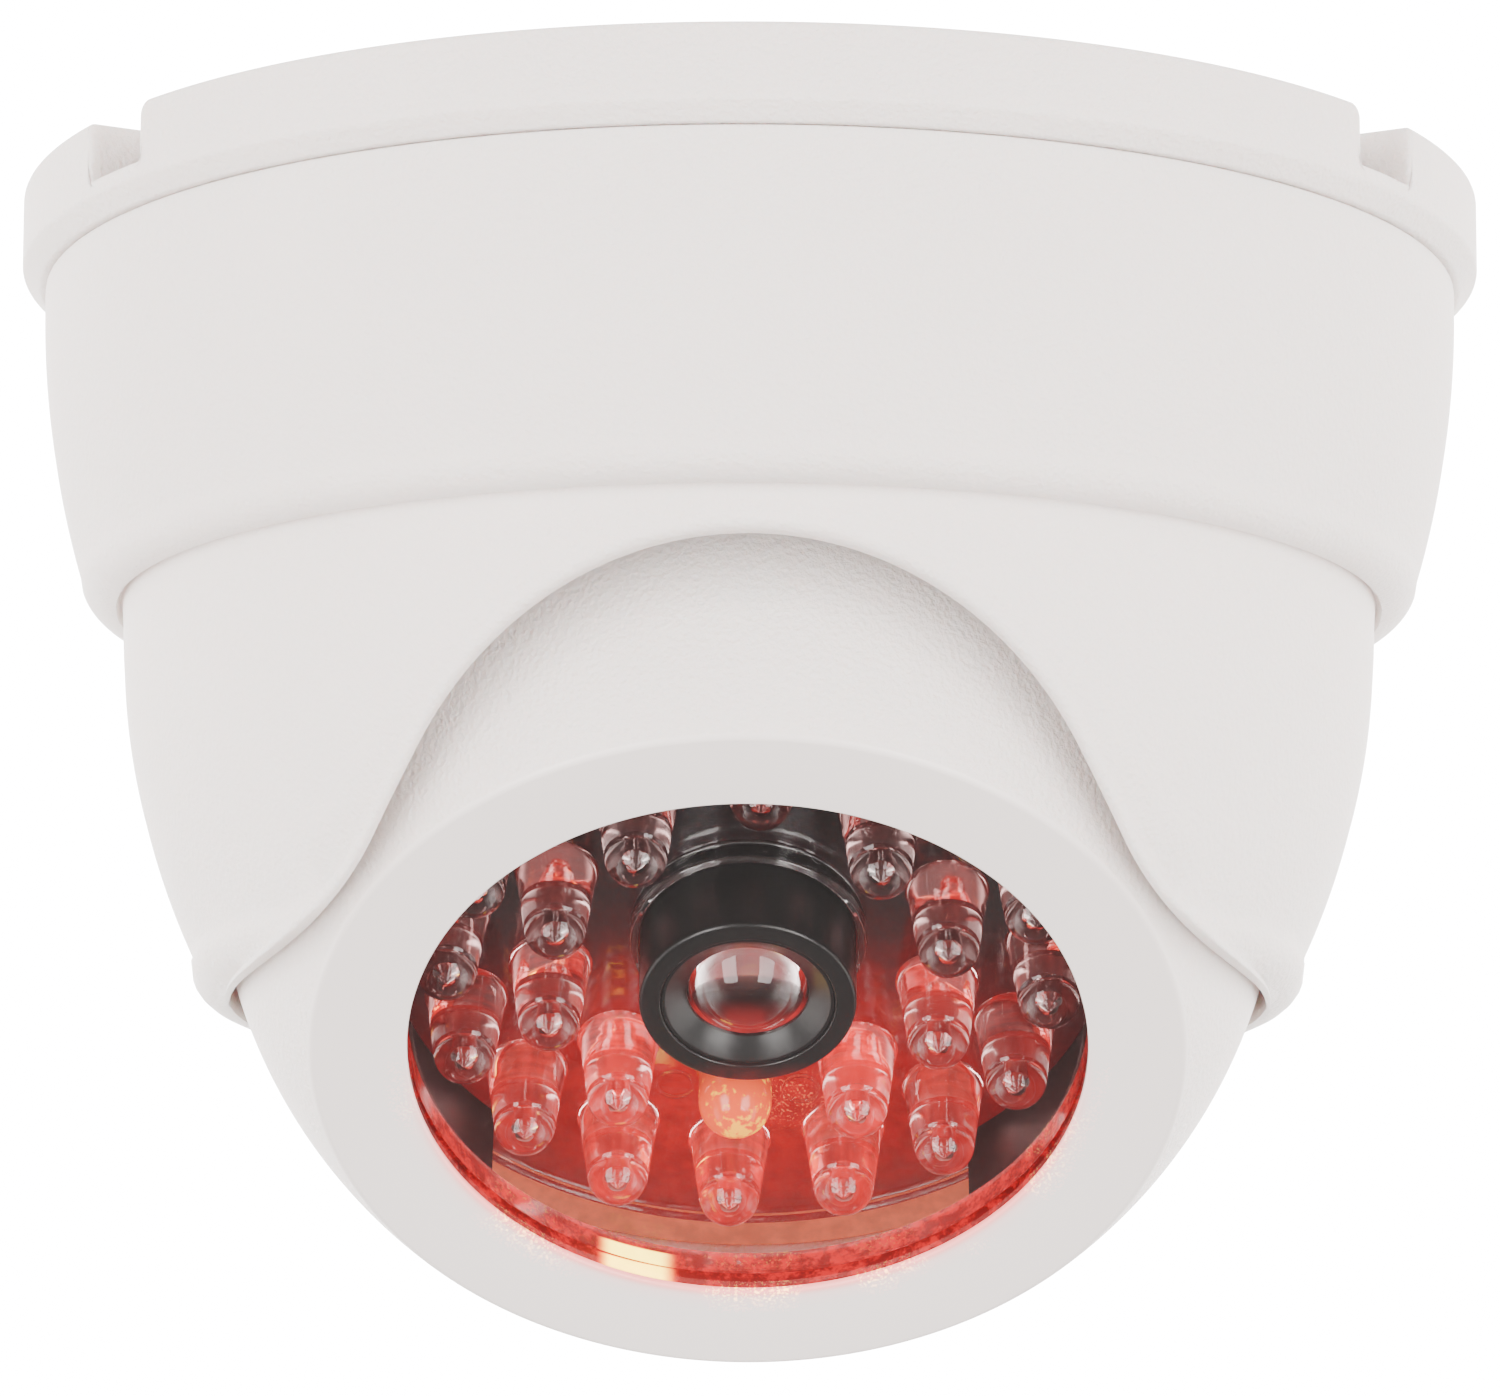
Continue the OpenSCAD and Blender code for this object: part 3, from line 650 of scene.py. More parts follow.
def glowing_led():
    """The red LED in its clear body while it is lit."""
    material = new_material("led_lit", (0.5, 0.05, 0.02), 0.15)
    n = Nodes(material)
    u, w, k = n.ball_axes()
    blotch = n.noise(0.7, 3.0, 0.65)
    heart = (FLASH_AT[0] + 0.6, FLASH_AT[1] - 0.4)
    centre = n.ramp(n.distance(u, w, heart), 0.3, 2.6, 1.0, 0.0)
    hot = n.ramp(n.plus(blotch, n.times(centre, 0.2)), 0.58, 0.70)
    low = n.ramp(k, 10.0, 13.5, 0.2, 1.0)
    n.to(n.mix(hot, (1.0, 0.11, 0.01), (1.0, 0.56, 0.0)), "Emission Color")
    n.to(n.plus(n.times(low, 1.1), n.times(hot, 0.9)), "Emission Strength")
    return material


def metal(name, colour, roughness=0.3):
    """Plated metal with fine brushing."""
    material = new_material(name, colour, roughness, Metallic=1.0)
    n = Nodes(material)
    n.bump(n.noise(0.2, 3.0), 0.01, 0.4)
    n.to(n.ramp(n.noise(0.8, 3.0), 0.3, 0.7, roughness - 0.08, roughness + 0.12), "Roughness")
    return material


def coloured(name, colour, roughness, darker=0.7, size=1.5, bump=0.02):
    """A plain coloured surface with mottling and fine relief."""
    material = new_material(name, colour, roughness)
    n = Nodes(material)
    spots = n.noise(size, 4.0, 0.6)
    n.to(n.mix(n.ramp(spots, 0.35, 0.7), colour, tuple(c * darker for c in colour)), "Base Color")
    n.to(n.ramp(spots, 0.3, 0.7, roughness - 0.08, roughness + 0.08), "Roughness")
    n.bump(n.noise(size / 5, 2.0), bump, 0.5)
    return material


def led_place(ring, i):
    """Where LED i of a ring stands, counted clockwise from the top as seen from outside."""
    radius, count = ring
    return Matrix.Rotation(math.radians(-plate_turn - 360 * i / count), 4, "Z") @ shift(0, radius, 0)


flash_spot = led_place(inner_ring, inner_ring[1] // 2).translation
FLASH_AT = (flash_spot.x, flash_spot.y)
# centre of the painted glints on the backing
GLINTS_AT = (2.8, -17.0)

white_grained = grained_white()
white_smooth = smooth_white()
black_gloss = black_plastic("black_barrel", 0.3)
# painted red glow on the barrel's lower side
painted_red_glow(black_gloss, -7.4, -5.2, 0.16)
black_matt = black_plastic("black_liner", 0.4)
black_box = black_plastic("black_box", 0.45, (0.03, 0.03, 0.032))
# the pinkish tint and the glow are painted red light from the flashing LED
clear_leds = clear_plastic("clear_leds", tint=(1.0, 0.88, 0.87), glow=0.32)
clear_plate = clear_plastic("clear_plate")
clear_lens = clear_plastic("clear_lens", 0.0)
# painted red glow on the lens's lower side
painted_red_glow(clear_lens, -2.4, -0.9, 0.35)
window_clear = window_plastic()
# painted red light from the flashing LED on the backing and the carrier
backing_lit = lit_from_flash("backing_lit", (0.006, 0.004, 0.004), 0.35, 0.9, 26.0, 0.08, 1.6)
carrier_lit = lit_from_flash("carrier_lit", (0.2, 0.12, 0.08), 0.5, 1.0, 40.0, 0.45, tone=(1.0, 0.14, 0.055))
led_lit = glowing_led()
steel = metal("zinc_steel", (0.55, 0.55, 0.57))
nickel = metal("nickel", (0.66, 0.63, 0.58), 0.22)
board_brown = coloured("board_brown", (0.36, 0.2, 0.07), 0.55)
resin_black = coloured("resin_black", (0.012, 0.012, 0.013), 0.2)
resistor_tan = coloured("resistor_tan", (0.55, 0.4, 0.22), 0.4)
cell_sleeve = coloured("cell_sleeve", (0.03, 0.09, 0.06), 0.3, 0.8, 4.0)
nylon = coloured("nylon", (0.7, 0.7, 0.68), 0.5, 0.95)
red_pvc = coloured("red_pvc", (0.5, 0.01, 0.01), 0.4, 0.85)
black_pvc = coloured("black_pvc", (0.015, 0.015, 0.015), 0.4, 0.85)

# ---------------------------------------------------------------- cover


def flank_x(z):
    """The radius of the housing's curved side at a height."""
    return housing_r - flank_curve + math.sqrt(flank_curve**2 - (flank_top - z) ** 2)


def cover_outer():
    """The outer profile from the rim down to the inner edge of the bottom, densely."""
    shoulder_c = flank_x(shoulder_z) - shoulder_fillet + 0.03
    rim = [(housing_r - 1.5, cover_top, 0), (housing_r, cover_top, 0.22), (housing_r, flank_top, 0)]
    points = rounded(rim)[1:]
    points += [(flank_x(z), z) for z in np.linspace(flank_top - 0.4, shoulder_z + 0.3, 30)]
    under = arc(shoulder_c, shoulder_z, shoulder_fillet, 0, -100, 16)
    bowl = [(bowl_r - bowl_curve + math.sqrt(bowl_curve**2 - (bowl_top - z) ** 2), z)
            for z in np.linspace(bowl_top, corner_c[1] + 0.6, 70)]
    crease = [(*under[-2], 0), (bowl_r + 0.12, crease_z, 0.7), (bowl_r, bowl_top + 0.1, 0)]
    points += under[:-2] + rounded(crease, 8) + bowl[1:]
    points += arc(*corner_c, corner_fillet, 8, -90, 16)
    return np.array(points)


def cover_inner():
    """The inner profile from the rim down to the bottom."""
    shoulder_in = flank_x(shoulder_z) - shoulder_fillet
    points = [(housing_r - cover_wall, cover_top)]
    points += [(flank_x(z) - cover_wall, z) for z in np.linspace(flank_top, shoulder_z + 3, 14)]
    bowl_in, curve = bowl_r - cover_wall, 58
    points += [(shoulder_in, shoulder_z + 0.6), (bowl_in + 0.6, crease_z + 1), (bowl_in, bowl_top)]
    points += [(bowl_in - curve + math.sqrt(curve**2 - (bowl_top - z) ** 2), z)
               for z in np.linspace(bowl_top - 1, bowl_z + 2, 30)]
    points += [(lip_in, bowl_z)]
    return np.array(points)


def lengths(line):
    """The distance along a line of points to each of them."""
    steps = np.linalg.norm(np.diff(line, axis=0), axis=1)
    return np.concatenate([[0], np.cumsum(steps)])


def arch_outline(n):
    """The arch as seen from the front, from one side to the other: n points evenly spaced."""
    centre = arch_z - arch_r
    foot_x, foot_z = arch_r * math.sin(arch_slope), centre + arch_r * math.cos(arch_slope)
    top_z = bowl_z + flare_r * (1 - math.cos(arch_slope))
    flare_x = foot_x + (foot_z - top_z) / math.tan(arch_slope) + flare_r * math.sin(arch_slope)
    half = [(arch_r * math.sin(a), centre + arch_r * math.cos(a)) for a in np.linspace(0, arch_slope, 80)]
    half += [(flare_x - flare_r * math.sin(a), bowl_z + flare_r - flare_r * math.cos(a))
             for a in np.linspace(arch_slope, 0.012, 60)]
    half = [p for p in half if p[0] <= corner_c[0]]
    line = np.array([(-x, z) for x, z in half[:0:-1]] + half)
    along = lengths(line)
    even = np.linspace(0, along[-1], n)
    return np.column_stack([np.interp(even, along, line[:, 0]), np.interp(even, along, line[:, 1])])


def cover_grid(front=220, back=150, rows=46, edge_out=1.1, edge_in=0.6):
    """The cover as one closed grid. Its columns run from the rim to the edge of the arch in
    front, or of the bowl behind, round that edge, and up the inside."""
    outer, inner = cover_outer(), cover_inner()
    outer_s, inner_s = lengths(outer), lengths(inner)

    def radius(line, z):
        """The radius of a profile at a height."""
        return np.interp(-z, -line[:, 1], line[:, 0])

    split = int(np.argmin(abs(outer[:, 1] - (bowl_top - 0.05)) + (outer[:, 0] > bowl_r + 0.3) * 9))
    low_outer = outer[split:]
    split_in = int(np.argmin(abs(inner[:, 1] - bowl_top)))
    low_inner = inner[split_in:]
    arch = arch_outline(front)
    columns = []
    for x, z in arch:
        ro, ri = radius(low_outer, z), radius(low_inner, z)
        y_out = -math.sqrt(max(ro**2 - x**2, 0))
        y_in = -math.sqrt(max(ri**2 - x**2, 0)) if abs(x) < ri else 0.0
        columns.append((Vector((x, y_out, z)), Vector((x, min(y_in, 0), z))))
    for a in np.radians(np.linspace(90, 270, back + 2)[1:-1]):
        spoke = Vector((math.sin(a), -math.cos(a), 0))
        z = outer[-1][1]
        columns.append((spoke * outer[-1][0] + Vector((0, 0, z)), spoke * lip_in + Vector((0, 0, z))))

    count = len(columns)
    edge_line = [c[0] for c in columns]
    gaps = [(edge_line[(i + 1) % count] - edge_line[i]).length for i in range(count)]
    travel = np.concatenate([[0], np.cumsum(gaps)])
    half_way = travel[front - 1]
    grid = []
    for j, (e_out, e_in) in enumerate(columns):
        ahead = (edge_line[(j + 1) % count] - edge_line[j - 1]).normalized()
        if j < front:
            a_top = math.radians(-90 + 180 * travel[j] / half_way)
        else:
            a_top = math.atan2(e_out.x, -e_out.y) % (2 * math.pi)
        outward = Vector((e_out.x, e_out.y, 0)).normalized()
        up = outward.cross(ahead)
        up = up if up.z > 0 else -up
        if j >= front:
            up = outward
        wall = e_in - e_out
        if wall.length < 0.3:
            wall = -outward * 0.35
        wall_length = wall.length
        wall.normalize()
        near_end = min(j, abs(front - 1 - j)) if j < front else 0
        reach = edge_out * min(1.0, 0.12 + near_end / 24)
        inner_reach = min(edge_in, 0.3 * wall_length)
        reach_wall = min(reach, 0.5 * wall_length)
        column = []
        for s in np.linspace(0, 1, 9):
            column.append(e_out + up * reach * (1 - s) ** 2 + wall * reach_wall * s**2)
        for s in (0.35, 0.7):
            column.append(e_out + wall * (reach_wall + (wall_length - reach_wall - inner_reach) * s))
        corner = e_out + wall * wall_length
        for s in np.linspace(0, 1, 6):
            column.append(corner - wall * inner_reach * (1 - s) ** 2 + up * inner_reach * s**2)
        # up the inside
        last = column[-1]
        a_last, z_last = math.atan2(last.x, -last.y), last.z
        if j >= front:
            a_last %= 2 * math.pi
        s_last = np.interp(-z_last, -low_inner[:, 1], inner_s[split_in:])
        for t in np.linspace(0, 1, 26)[1:]:
            s = s_last + (inner_s[split_in] - s_last) * t
            a = a_last + (a_top - a_last) * t
            r, z = np.interp(s, inner_s, inner[:, 0]), np.interp(s, inner_s, inner[:, 1])
            if t < 0.3:
                r = r + (math.hypot(last.x, last.y) - np.interp(s_last, inner_s, inner[:, 0])) * (1 - t / 0.3)
            column.append(polar(r, a, z))
        for r, z in inner[split_in - 1::-1]:
            column.append(polar(r, a_top, z))
        # down the outside
        for r, z in outer[:split]:
            column.append(polar(r, a_top, z))
        first = column[0]
        a_first = math.atan2(first.x, -first.y)
        if j >= front:
            a_first %= 2 * math.pi
            s_first = outer_s[-1] - reach
        else:
            s_first = np.interp(-first.z, -low_outer[:, 1], outer_s[split:])
        lift = math.hypot(first.x, first.y) - np.interp(s_first, outer_s, outer[:, 0])
        for t in np.linspace(0, 1, rows)[:-1]:
            s = outer_s[split] + (s_first - outer_s[split]) * t
            a = a_top + (a_first - a_top) * t
            r, z = np.interp(s, outer_s, outer[:, 0]), np.interp(s, outer_s, outer[:, 1])
            r += lift * max(0.0, (t - 0.9) / 0.1)
            column.append(polar(r, a, z))
        grid.append(column)
    verts = [tuple(v) for column in grid for v in column]
    return verts, grid_faces(len(grid[0]), count, True, True)


def cover_parts():
    """The cover's shell with its three hooks and the two saddles of the pivots."""
    parts = [cover_grid()]
    for a in THIRDS:
        for ring in ((42.9, 40.8, -12, -2.6), (45.1, 42.0, -4.35, -2.6), (46.6, 42.0, -12, -9)):
            parts.append(tube(*ring, 0.25, 16, a - hook_half, a + hook_half))
    for side in (-1, 1):
        x = sorted((side * 35.2, side * 38.7))
        saddle_foot = -48.2
        for y in ((-5.5, -pivot_seat_r), (pivot_seat_r, 5.5)):
            parts.append(block(x, y, (saddle_foot, ball_centre.z), 0.25))
        parts.append(block(x, (-2.7, 2.7), (saddle_foot, ball_centre.z - pivot_seat_r), 0.2))
    return parts


piece("cover_shell", cover_parts(), [white_grained], "cover", ["cover"], sharp=50)

# ---------------------------------------------------------------- base

wall_in = 45.5
notch_at = 57.3
notch_w = 6.5
notch_h = 4.0
mount_x = 33
mount_r = 2.2
plate_z = -1.9
ledge_half = 12


def base_outline():
    """(angle in degrees, height) of the wall's upper edge, all the way round."""
    half = math.degrees(notch_w / 2 / base_r)
    mm = math.degrees(1 / base_r)
    points = []
    for side in (-1, 1):
        front, rear = (notch_at - half) / mm, (notch_at + half) / mm
        notch = rounded([(front - 2.2, 0, 0), (front, 0, 1.5), (front, -notch_h, 0.3),
                         (rear, -notch_h, 0.3), (rear, 0, 0.4), (rear + 1, 0, 0)], 8)
        points.append([(side * x * mm, z) for x, z in notch[::side]])
    left, right = points
    left = [(a + 360, z) for a, z in left]
    first = right[-1][0]
    back = [(a, 0) for a in np.arange(first + 2, left[0][0] - 1, 2.0)]
    front = [(a, 0) for a in np.arange(left[-1][0] + 2, 360 + right[0][0] - 1, 2.0)]
    return right + back + left + front


def base_columns(outline):
    """Angles at the foot of the wall, in radians: those of its upper edge, evened out."""
    reach = 28
    angles = np.unwrap(np.radians([a for a, z in outline]))
    turns = np.concatenate([angles[-reach:] - 2 * math.pi, angles, angles[:reach] + 2 * math.pi])
    weights = np.hanning(2 * reach + 3)[1:-1]
    return np.convolve(turns, weights / weights.sum(), "valid")


def base_wall():
    """The wall of the base, with its two notches. A column of the grid starts at the wall's
    upper edge and goes over it, down the inside, round the foot and up the outside."""
    line = base_outline()
    edge_out, edge_in = 0.45, 0.2
    dense = []
    for i, (a, z) in enumerate(line):
        a2, z2 = line[(i + 1) % len(line)]
        if a2 < a:
            a2 += 360
        length = math.hypot((a2 - a) * base_r * math.pi / 180, z2 - z)
        n = max(1, int(length / 0.55))
        dense += [(a + (a2 - a) * s / n, z + (z2 - z) * s / n) for s in range(n)]
    count = len(dense)
    spread = base_columns(dense)
    grid = []
    low_corners = [(base_r, -base_h + 1.2), (base_r - 1.2, -base_h)]
    bottom = rounded([(base_r, -2, 0), (*low_corners[0], 0.5), (*low_corners[1], 0.4),
                      (wall_in, -base_h, 0.2), (wall_in, -2, 0)], 5)[1:-1]
    for i, (a, z) in enumerate(dense):
        a0, z0 = dense[i - 1]
        a1, z1 = dense[(i + 1) % count]
        turn = math.radians(((a1 - a0 + 180) % 360) - 180) * base_r
        slope = Vector((turn, z1 - z0)).normalized()
        down = Vector((slope.y, -slope.x))
        if down.y > 0:
            down = -down
        a_rad = math.radians(a)

        def at(radius, offset, height):
            """A point beside this column, by an offset measured along the wall."""
            angle = a_rad + offset / base_r
            return polar(radius, angle, height)

        column = []
        for s in np.linspace(0, 1, 6):
            d = edge_out * (1 - s) ** 2
            inwards = edge_out * s**2
            column.append(at(base_r - inwards, down.x * d, z + down.y * d))
        for radius in (base_r - 1.5, base_r - 3.0):
            column.append(at(radius, 0, z))
        for s in np.linspace(0, 1, 4):
            d = edge_in * s**2
            inwards = edge_in * (1 - s) ** 2
            column.append(at(wall_in + inwards, down.x * d, z + down.y * d))
        foot = (spread[i] - a_rad + math.pi) % (2 * math.pi) - math.pi
        for t in (0.33, 0.66):
            inner_z = z + down.y * edge_in
            offset = down.x * edge_in * (1 - t) + foot * base_r * t
            column.append(at(wall_in, offset, inner_z + (-base_h + 0.5 - inner_z) * t))
        for r, zz in reversed(bottom):
            column.append(at(r, foot * base_r, zz))
        top_z = z + down.y * edge_out
        for t in (0.25, 0.5, 0.75):
            offset = foot * base_r * (1 - t) + down.x * edge_out * t
            column.append(at(base_r, offset, bottom[0][1] + (top_z - bottom[0][1]) * t))
        grid.append(column)
    verts = [tuple(v) for column in grid for v in column]
    return verts, grid_faces(len(grid[0]), count, True, True)


def base_parts():
    """The wall, the plate against the ceiling and what is moulded on it."""
    holes = [circle(x, 0, mount_r, 40) for x in (-mount_x, mount_x)]
    parts = [base_wall(), sheet_with_holes([circle(0, 0, wall_in + 0.02, 200)] + holes, -2, 0, 0.15)]
    for x in (-mount_x, mount_x):
        parts.append(moved(tube(4.6, mount_r, -3.2, plate_z, 0.2, 48), shift(x, 0, 0)))
    parts.append(tube(22, 20.8, -3.2, plate_z, 0.25, 128))
    for a in THIRDS:
        parts.append(tube(wall_in + 0.3, 43.2, -base_h, -4.7, 0.25, 20, a - ledge_half, a + ledge_half))
        parts.append(tube(wall_in + 0.3, 43.2, -4.8, plate_z, 0.15, 4, a - 13.5, a - 11.6))
    return parts


piece("base_plate", base_parts(), [white_grained], "base", ["mounting_base"], sharp=50)

# ---------------------------------------------------------------- eyeball shells


def sphere_arc(r, k_from, k_to, n):
    """Points (radius, k) on a sphere between two heights."""
    start, end = math.degrees(math.asin(k_from / r)), math.degrees(math.asin(k_to / r))
    return arc(0, 0, r, start, end, n)


def with_flats(part):
    """The part with its round sides cut flat at the pivots."""
    verts = [(max(-flat_x, min(flat_x, x)), y, z) for x, y, z in part[0]]
    return (verts, *part[1:])


def eye_front_parts():
    """The front shell with the bezel, in two finishes: 0 is grained, 1 is smooth."""
    inner_r = ball_r - ball_wall
    outer = sphere_arc(ball_r, parting_k + 0.01, bezel_k - 0.55, 70)
    rest = rounded([
        (*outer[-1], 0), (bezel_r, bezel_k, 1.3), (window_r, bezel_edge_k, 0.22),
        (window_r, lip_k, 0.05), (window_seat_r, lip_k, 0.05), (window_seat_r, skirt_k, 0.2),
        (window_seat_r + 1.4, skirt_k, 0.2), (window_seat_r + 1.4, 19.6, 0.1), (27.9, 19.6, 0.3)], 8)[1:]
    inner = sphere_arc(inner_r, 19.0, parting_k + 0.01, 40)
    profile = outer + rest + inner
    verts, faces = lathe(profile, 256)
    rows = len(profile)
    smooth = range(len(outer), len(outer) + len(rest))
    numbers = [int(i % rows in smooth) for i in range(len(faces))]
    parts = [(*with_flats((verts, faces)), numbers)]
    for a in CARRIER_POSTS:
        parts.append(moved(rod(2.2, 6.4, 13.6), on_circle(a, 31)))
    for a in SHELL_POSTS:
        parts.append(moved(rod(2.6, parting_k, 3.4), on_circle(a, 31.5)))
    for side in (-1, 1):
        turn = Matrix.Rotation(math.radians(side * 90), 4, "Y")
        parts.append(moved(rod(4.4, 32, flat_x - 0.2, 0.3), turn))
        parts.append(moved(rod(2.5, 33, 38.2, 0.35), turn))
    return parts


def eye_rear_parts():
    """The rear shell with its opening for the cells."""
    inner_r = ball_r - ball_wall
    out_k = -math.sqrt(ball_r**2 - rear_hole_r**2)
    in_k = -math.sqrt(inner_r**2 - rear_hole_r**2)
    outer = sphere_arc(ball_r, out_k + 0.4, parting_k - 0.25, 70)
    inner = sphere_arc(inner_r, parting_k - 0.15, in_k + 0.3, 50)
    rim = [(*inner[-1], 0), (rear_hole_r, in_k, 0.4), (rear_hole_r, out_k, 0.7), (*outer[0], 0)]
    edge = rounded(rim)[1:-1]
    corner = [(outer[-1][0] - 0.2, parting_k - 0.05)]
    parts = [with_flats(lathe(edge + outer + corner + inner, 256))]
    for side in (-1, 1):
        parts.append(moved(tube(2.0, 0.95, -17.6, -8.6, 0.1, 32), shift(side * box_screw_x, 0, 0)))
    for a in SHELL_POSTS:
        parts.append(moved(tube(2.8, 1.25, -13.0, -5.2, 0.15, 32), on_circle(a, 31.1)))
    return parts


piece("eye_front", eye_front_parts(), [white_grained, white_smooth], "eyeball", ["eye_front_shell"],
      IN_BALL, 45)
piece("eye_rear", eye_rear_parts(), [white_grained], "eyeball", ["eye_rear_shell"],
      IN_BALL, 45)

# ---------------------------------------------------------------- window and liner

pane_back = lip_k - 1.2
# the painted reflection of the flashing LED on the skirt, across and in depth: where it starts, is full,
# still is full and ends
led_reflection_u = (-10.4, -9.2, -6.0, -4.6)
led_reflection_k = (18.1, 18.25, 19.45, 19.58)


def skirt_material():
    """The clear skirt round the window, with painted red light from below and a painted reflection of the
    flashing LED as a hot spot.
    """
    material = new_material("skirt_lit", (0.25, 0.02, 0.02), 0.15)
    n = Nodes(material)
    u, w, k = n.ball_axes()
    # painted red glow, strongest low down, in bands
    low = n.ramp(w, -22.0, 8.0, 1.0, 0.08)
    glow_band = n.ramp(n.noise(1.6, 4.0, 0.75), 0.42, 0.64, 0.12, 1.9)
    # painted reflection of the flashing LED: a hot spot low on the skirt
    across = n.times(n.ramp(u, *led_reflection_u[:2]), n.ramp(u, *led_reflection_u[2:], 1.0, 0.0))
    deep = n.times(n.ramp(k, *led_reflection_k[:2]), n.ramp(k, *led_reflection_k[2:], 1.0, 0.0))
    spot = n.times(across, n.ramp(w, -18.0, -17.0, 1.0, 0.0), deep)
    n.to(n.mix(spot, (1.0, 0.0, 0.008), (1.0, 0.75, 0.08)), "Emission Color")
    n.to(n.plus(n.times(low, glow_band, 0.5), n.times(spot, 7.0)), "Emission Strength")
    return material


def face_middles(part):
    """The radius and the height of the middle of each face."""
    verts, faces = part
    for face in faces:
        radius = sum(math.hypot(*verts[i][:2]) for i in face) / len(face)
        yield radius, sum(verts[i][2] for i in face) / len(face)


def pane_part():
    """The window in two materials: 0 is the pane, 1 is its skirt."""
    outer_r = window_seat_r - 0.05
    part = lathe(rounded([(0, pane_back, 0), (window_r + 0.1, pane_back, 0.3), (window_r + 0.1, skirt_k, 0.1),
                          (outer_r, skirt_k, 0.1), (outer_r, lip_k - 0.02, 0.15), (0, lip_k - 0.02, 0)]), 192)
    numbers = [int(k < pane_back - 0.1 or r > window_r + 0.05) for r, k in face_middles(part)]
    return (*part, numbers)


piece("window_pane", [pane_part()], [window_clear, skirt_material()], "eyeball", ["window"],
      IN_BALL)

liner_front = skirt_k - 0.02
liner_profile = rounded([(24.6, 9.02, 0.1), (28.3, 9.02, 0.15), (28.3, 10, 0.2), (25.9, 10, 0.25),
                         (25.9, liner_front, 0.15), (24.6, liner_front, 0.3)], 4)
liner = lathe(liner_profile, 160, liner_gap - plate_turn, 360 - liner_gap - plate_turn)
ball_piece("liner", [liner], black_matt, "liner_ring")

# ---------------------------------------------------------------- plate, backing and carrier


BOARD_SCREWS = [shift(side * board_screw[0], board_screw[1], 0) for side in (-1, 1)]


def plate_parts():
    """The clear plate with its collar round the barrel and two moulding marks."""
    flash_hole = circle(*FLASH_AT, 2.6, 48)
    parts = [sheet_with_holes([circle(0, 0, plate_r, 200), circle(0, 0, barrel_r + 0.1, 96), flash_hole],
                              plate_k, plate_front, 0.18)]
    parts.append(tube(8.0, barrel_r + 0.1, plate_front - 0.02, 10.6, 0.22, 96))
    mark = tube(1.35, 1.1, plate_front - 0.02, plate_front + 0.14, 0.05, 40)
    for a in (163, 195):
        parts.append(moved(mark, Matrix.Rotation(math.radians(-plate_turn - a), 4, "Z") @ shift(0, 15.6, 0)))
    return parts


def backing_parts():
    """The black disc behind the clear plate with the two posts of the board."""
    loops = [circle(0, 0, plate_r - 0.2, 200), circle(0, 0, 1.1, 24), circle(*FLASH_AT, 2.6, 48)]
    parts = [sheet_with_holes(loops, backing_k, plate_k - 0.02, 0.05)]
    post = tube(1.5, 0.62, 2.0, backing_k + 0.1, 0.1, 24)
    parts += [moved(post, place) for place in BOARD_SCREWS]
    return parts


def carrier_outline():
    """The carrier's edge: round, flat beside the pivots, with a notch for each shell post."""
    edge_r, flat, post_at, notch_r, depth = 33, 31.6, 31.6, 3.4, 3.6
    points = []
    for a in np.radians(np.arange(0, 360, 1.0)):
        x, y = edge_r * math.cos(a), edge_r * math.sin(a)
        x = max(-flat, min(flat, x))
        for post in np.radians(SHELL_POSTS):
            px, py = post_at * math.cos(post), post_at * math.sin(post)
            away = math.hypot(x - px, y - py)
            if away < notch_r:
                inward = Vector((-px, -py)).normalized() * depth * (1 - (away / notch_r) ** 4)
                x, y = x + inward.x, y + inward.y
        points.append((x, y))
    return points


carrier = [sheet_with_holes([carrier_outline(), circle(0, 0, 24.5, 160)], 4.7, backing_k - 0.02, 0.15),
           tube(29.7, plate_r + 0.12, backing_k - 0.05, plate_k + 0.2, 0.12, 200)]
ball_piece("clear_led_plate", plate_parts(), clear_plate, "led_plate")
ball_piece("black_backing", backing_parts(), backing_lit, "backing_disc")
ball_piece("carrier_ring", carrier, carrier_lit, "plate_carrier")

# ---------------------------------------------------------------- LEDs


def dummy_led(cut=0.0):
    """A clear moulded LED shape: tapered, with a domed tip and a hollow up its middle."""
    foot_k, tip_k = plate_front + 0.25, led_tip_k - cut
    foot_r = led_foot_r + (led_tip_r - led_foot_r) * cut / (led_tip_k - plate_front)
    body = [(0, plate_front + 0.01), (foot_r + 0.15, plate_front + 0.01), (foot_r, foot_k)]
    body += [(foot_r + (led_tip_r - foot_r) * t, foot_k + (tip_k - foot_k) * t)
             for t in np.linspace(0.1, 0.97, 10)]
    body += [(led_tip_r - 0.14, tip_k + 0.02)]
    body += arc(0, tip_k, led_tip_r - 0.02, 8, 90, 22)
    body[-1] = (0, tip_k + led_tip_r)
    hollow = [(0, -1.5), (0.3, -1.4), (0.5, -0.6), (0.62, 0.1),
              (0.3, 0.35), (0.48, 0.65), (0.15, 0.95), (0, 1.0)]
    core = [(r, tip_k + k) for r, k in hollow]
    return [lathe(body, 48), inside_out(lathe(core, 32))]


def ring_of_leds(ring, places):
    """The LED shapes of a ring, at the places named."""
    parts = []
    for i in places:
        spot = led_place(ring, i)
        for part in dummy_led(short_by if ring is inner_ring and i == 0 else 0.0):
            verts, faces = moved(part[:2], spot)
            parts.append((verts, faces, *part[2:]))
    return parts


inner_places = [i for i in range(inner_ring[1]) if i != inner_ring[1] // 2]
inner_leds = ring_of_leds(inner_ring, inner_places)
outer_leds = ring_of_leds(outer_ring, range(outer_ring[1]))
ball_piece("inner_leds", inner_leds, clear_leds, "dummy_leds_inner")
ball_piece("outer_leds", outer_leds, clear_leds, "dummy_leds_outer")

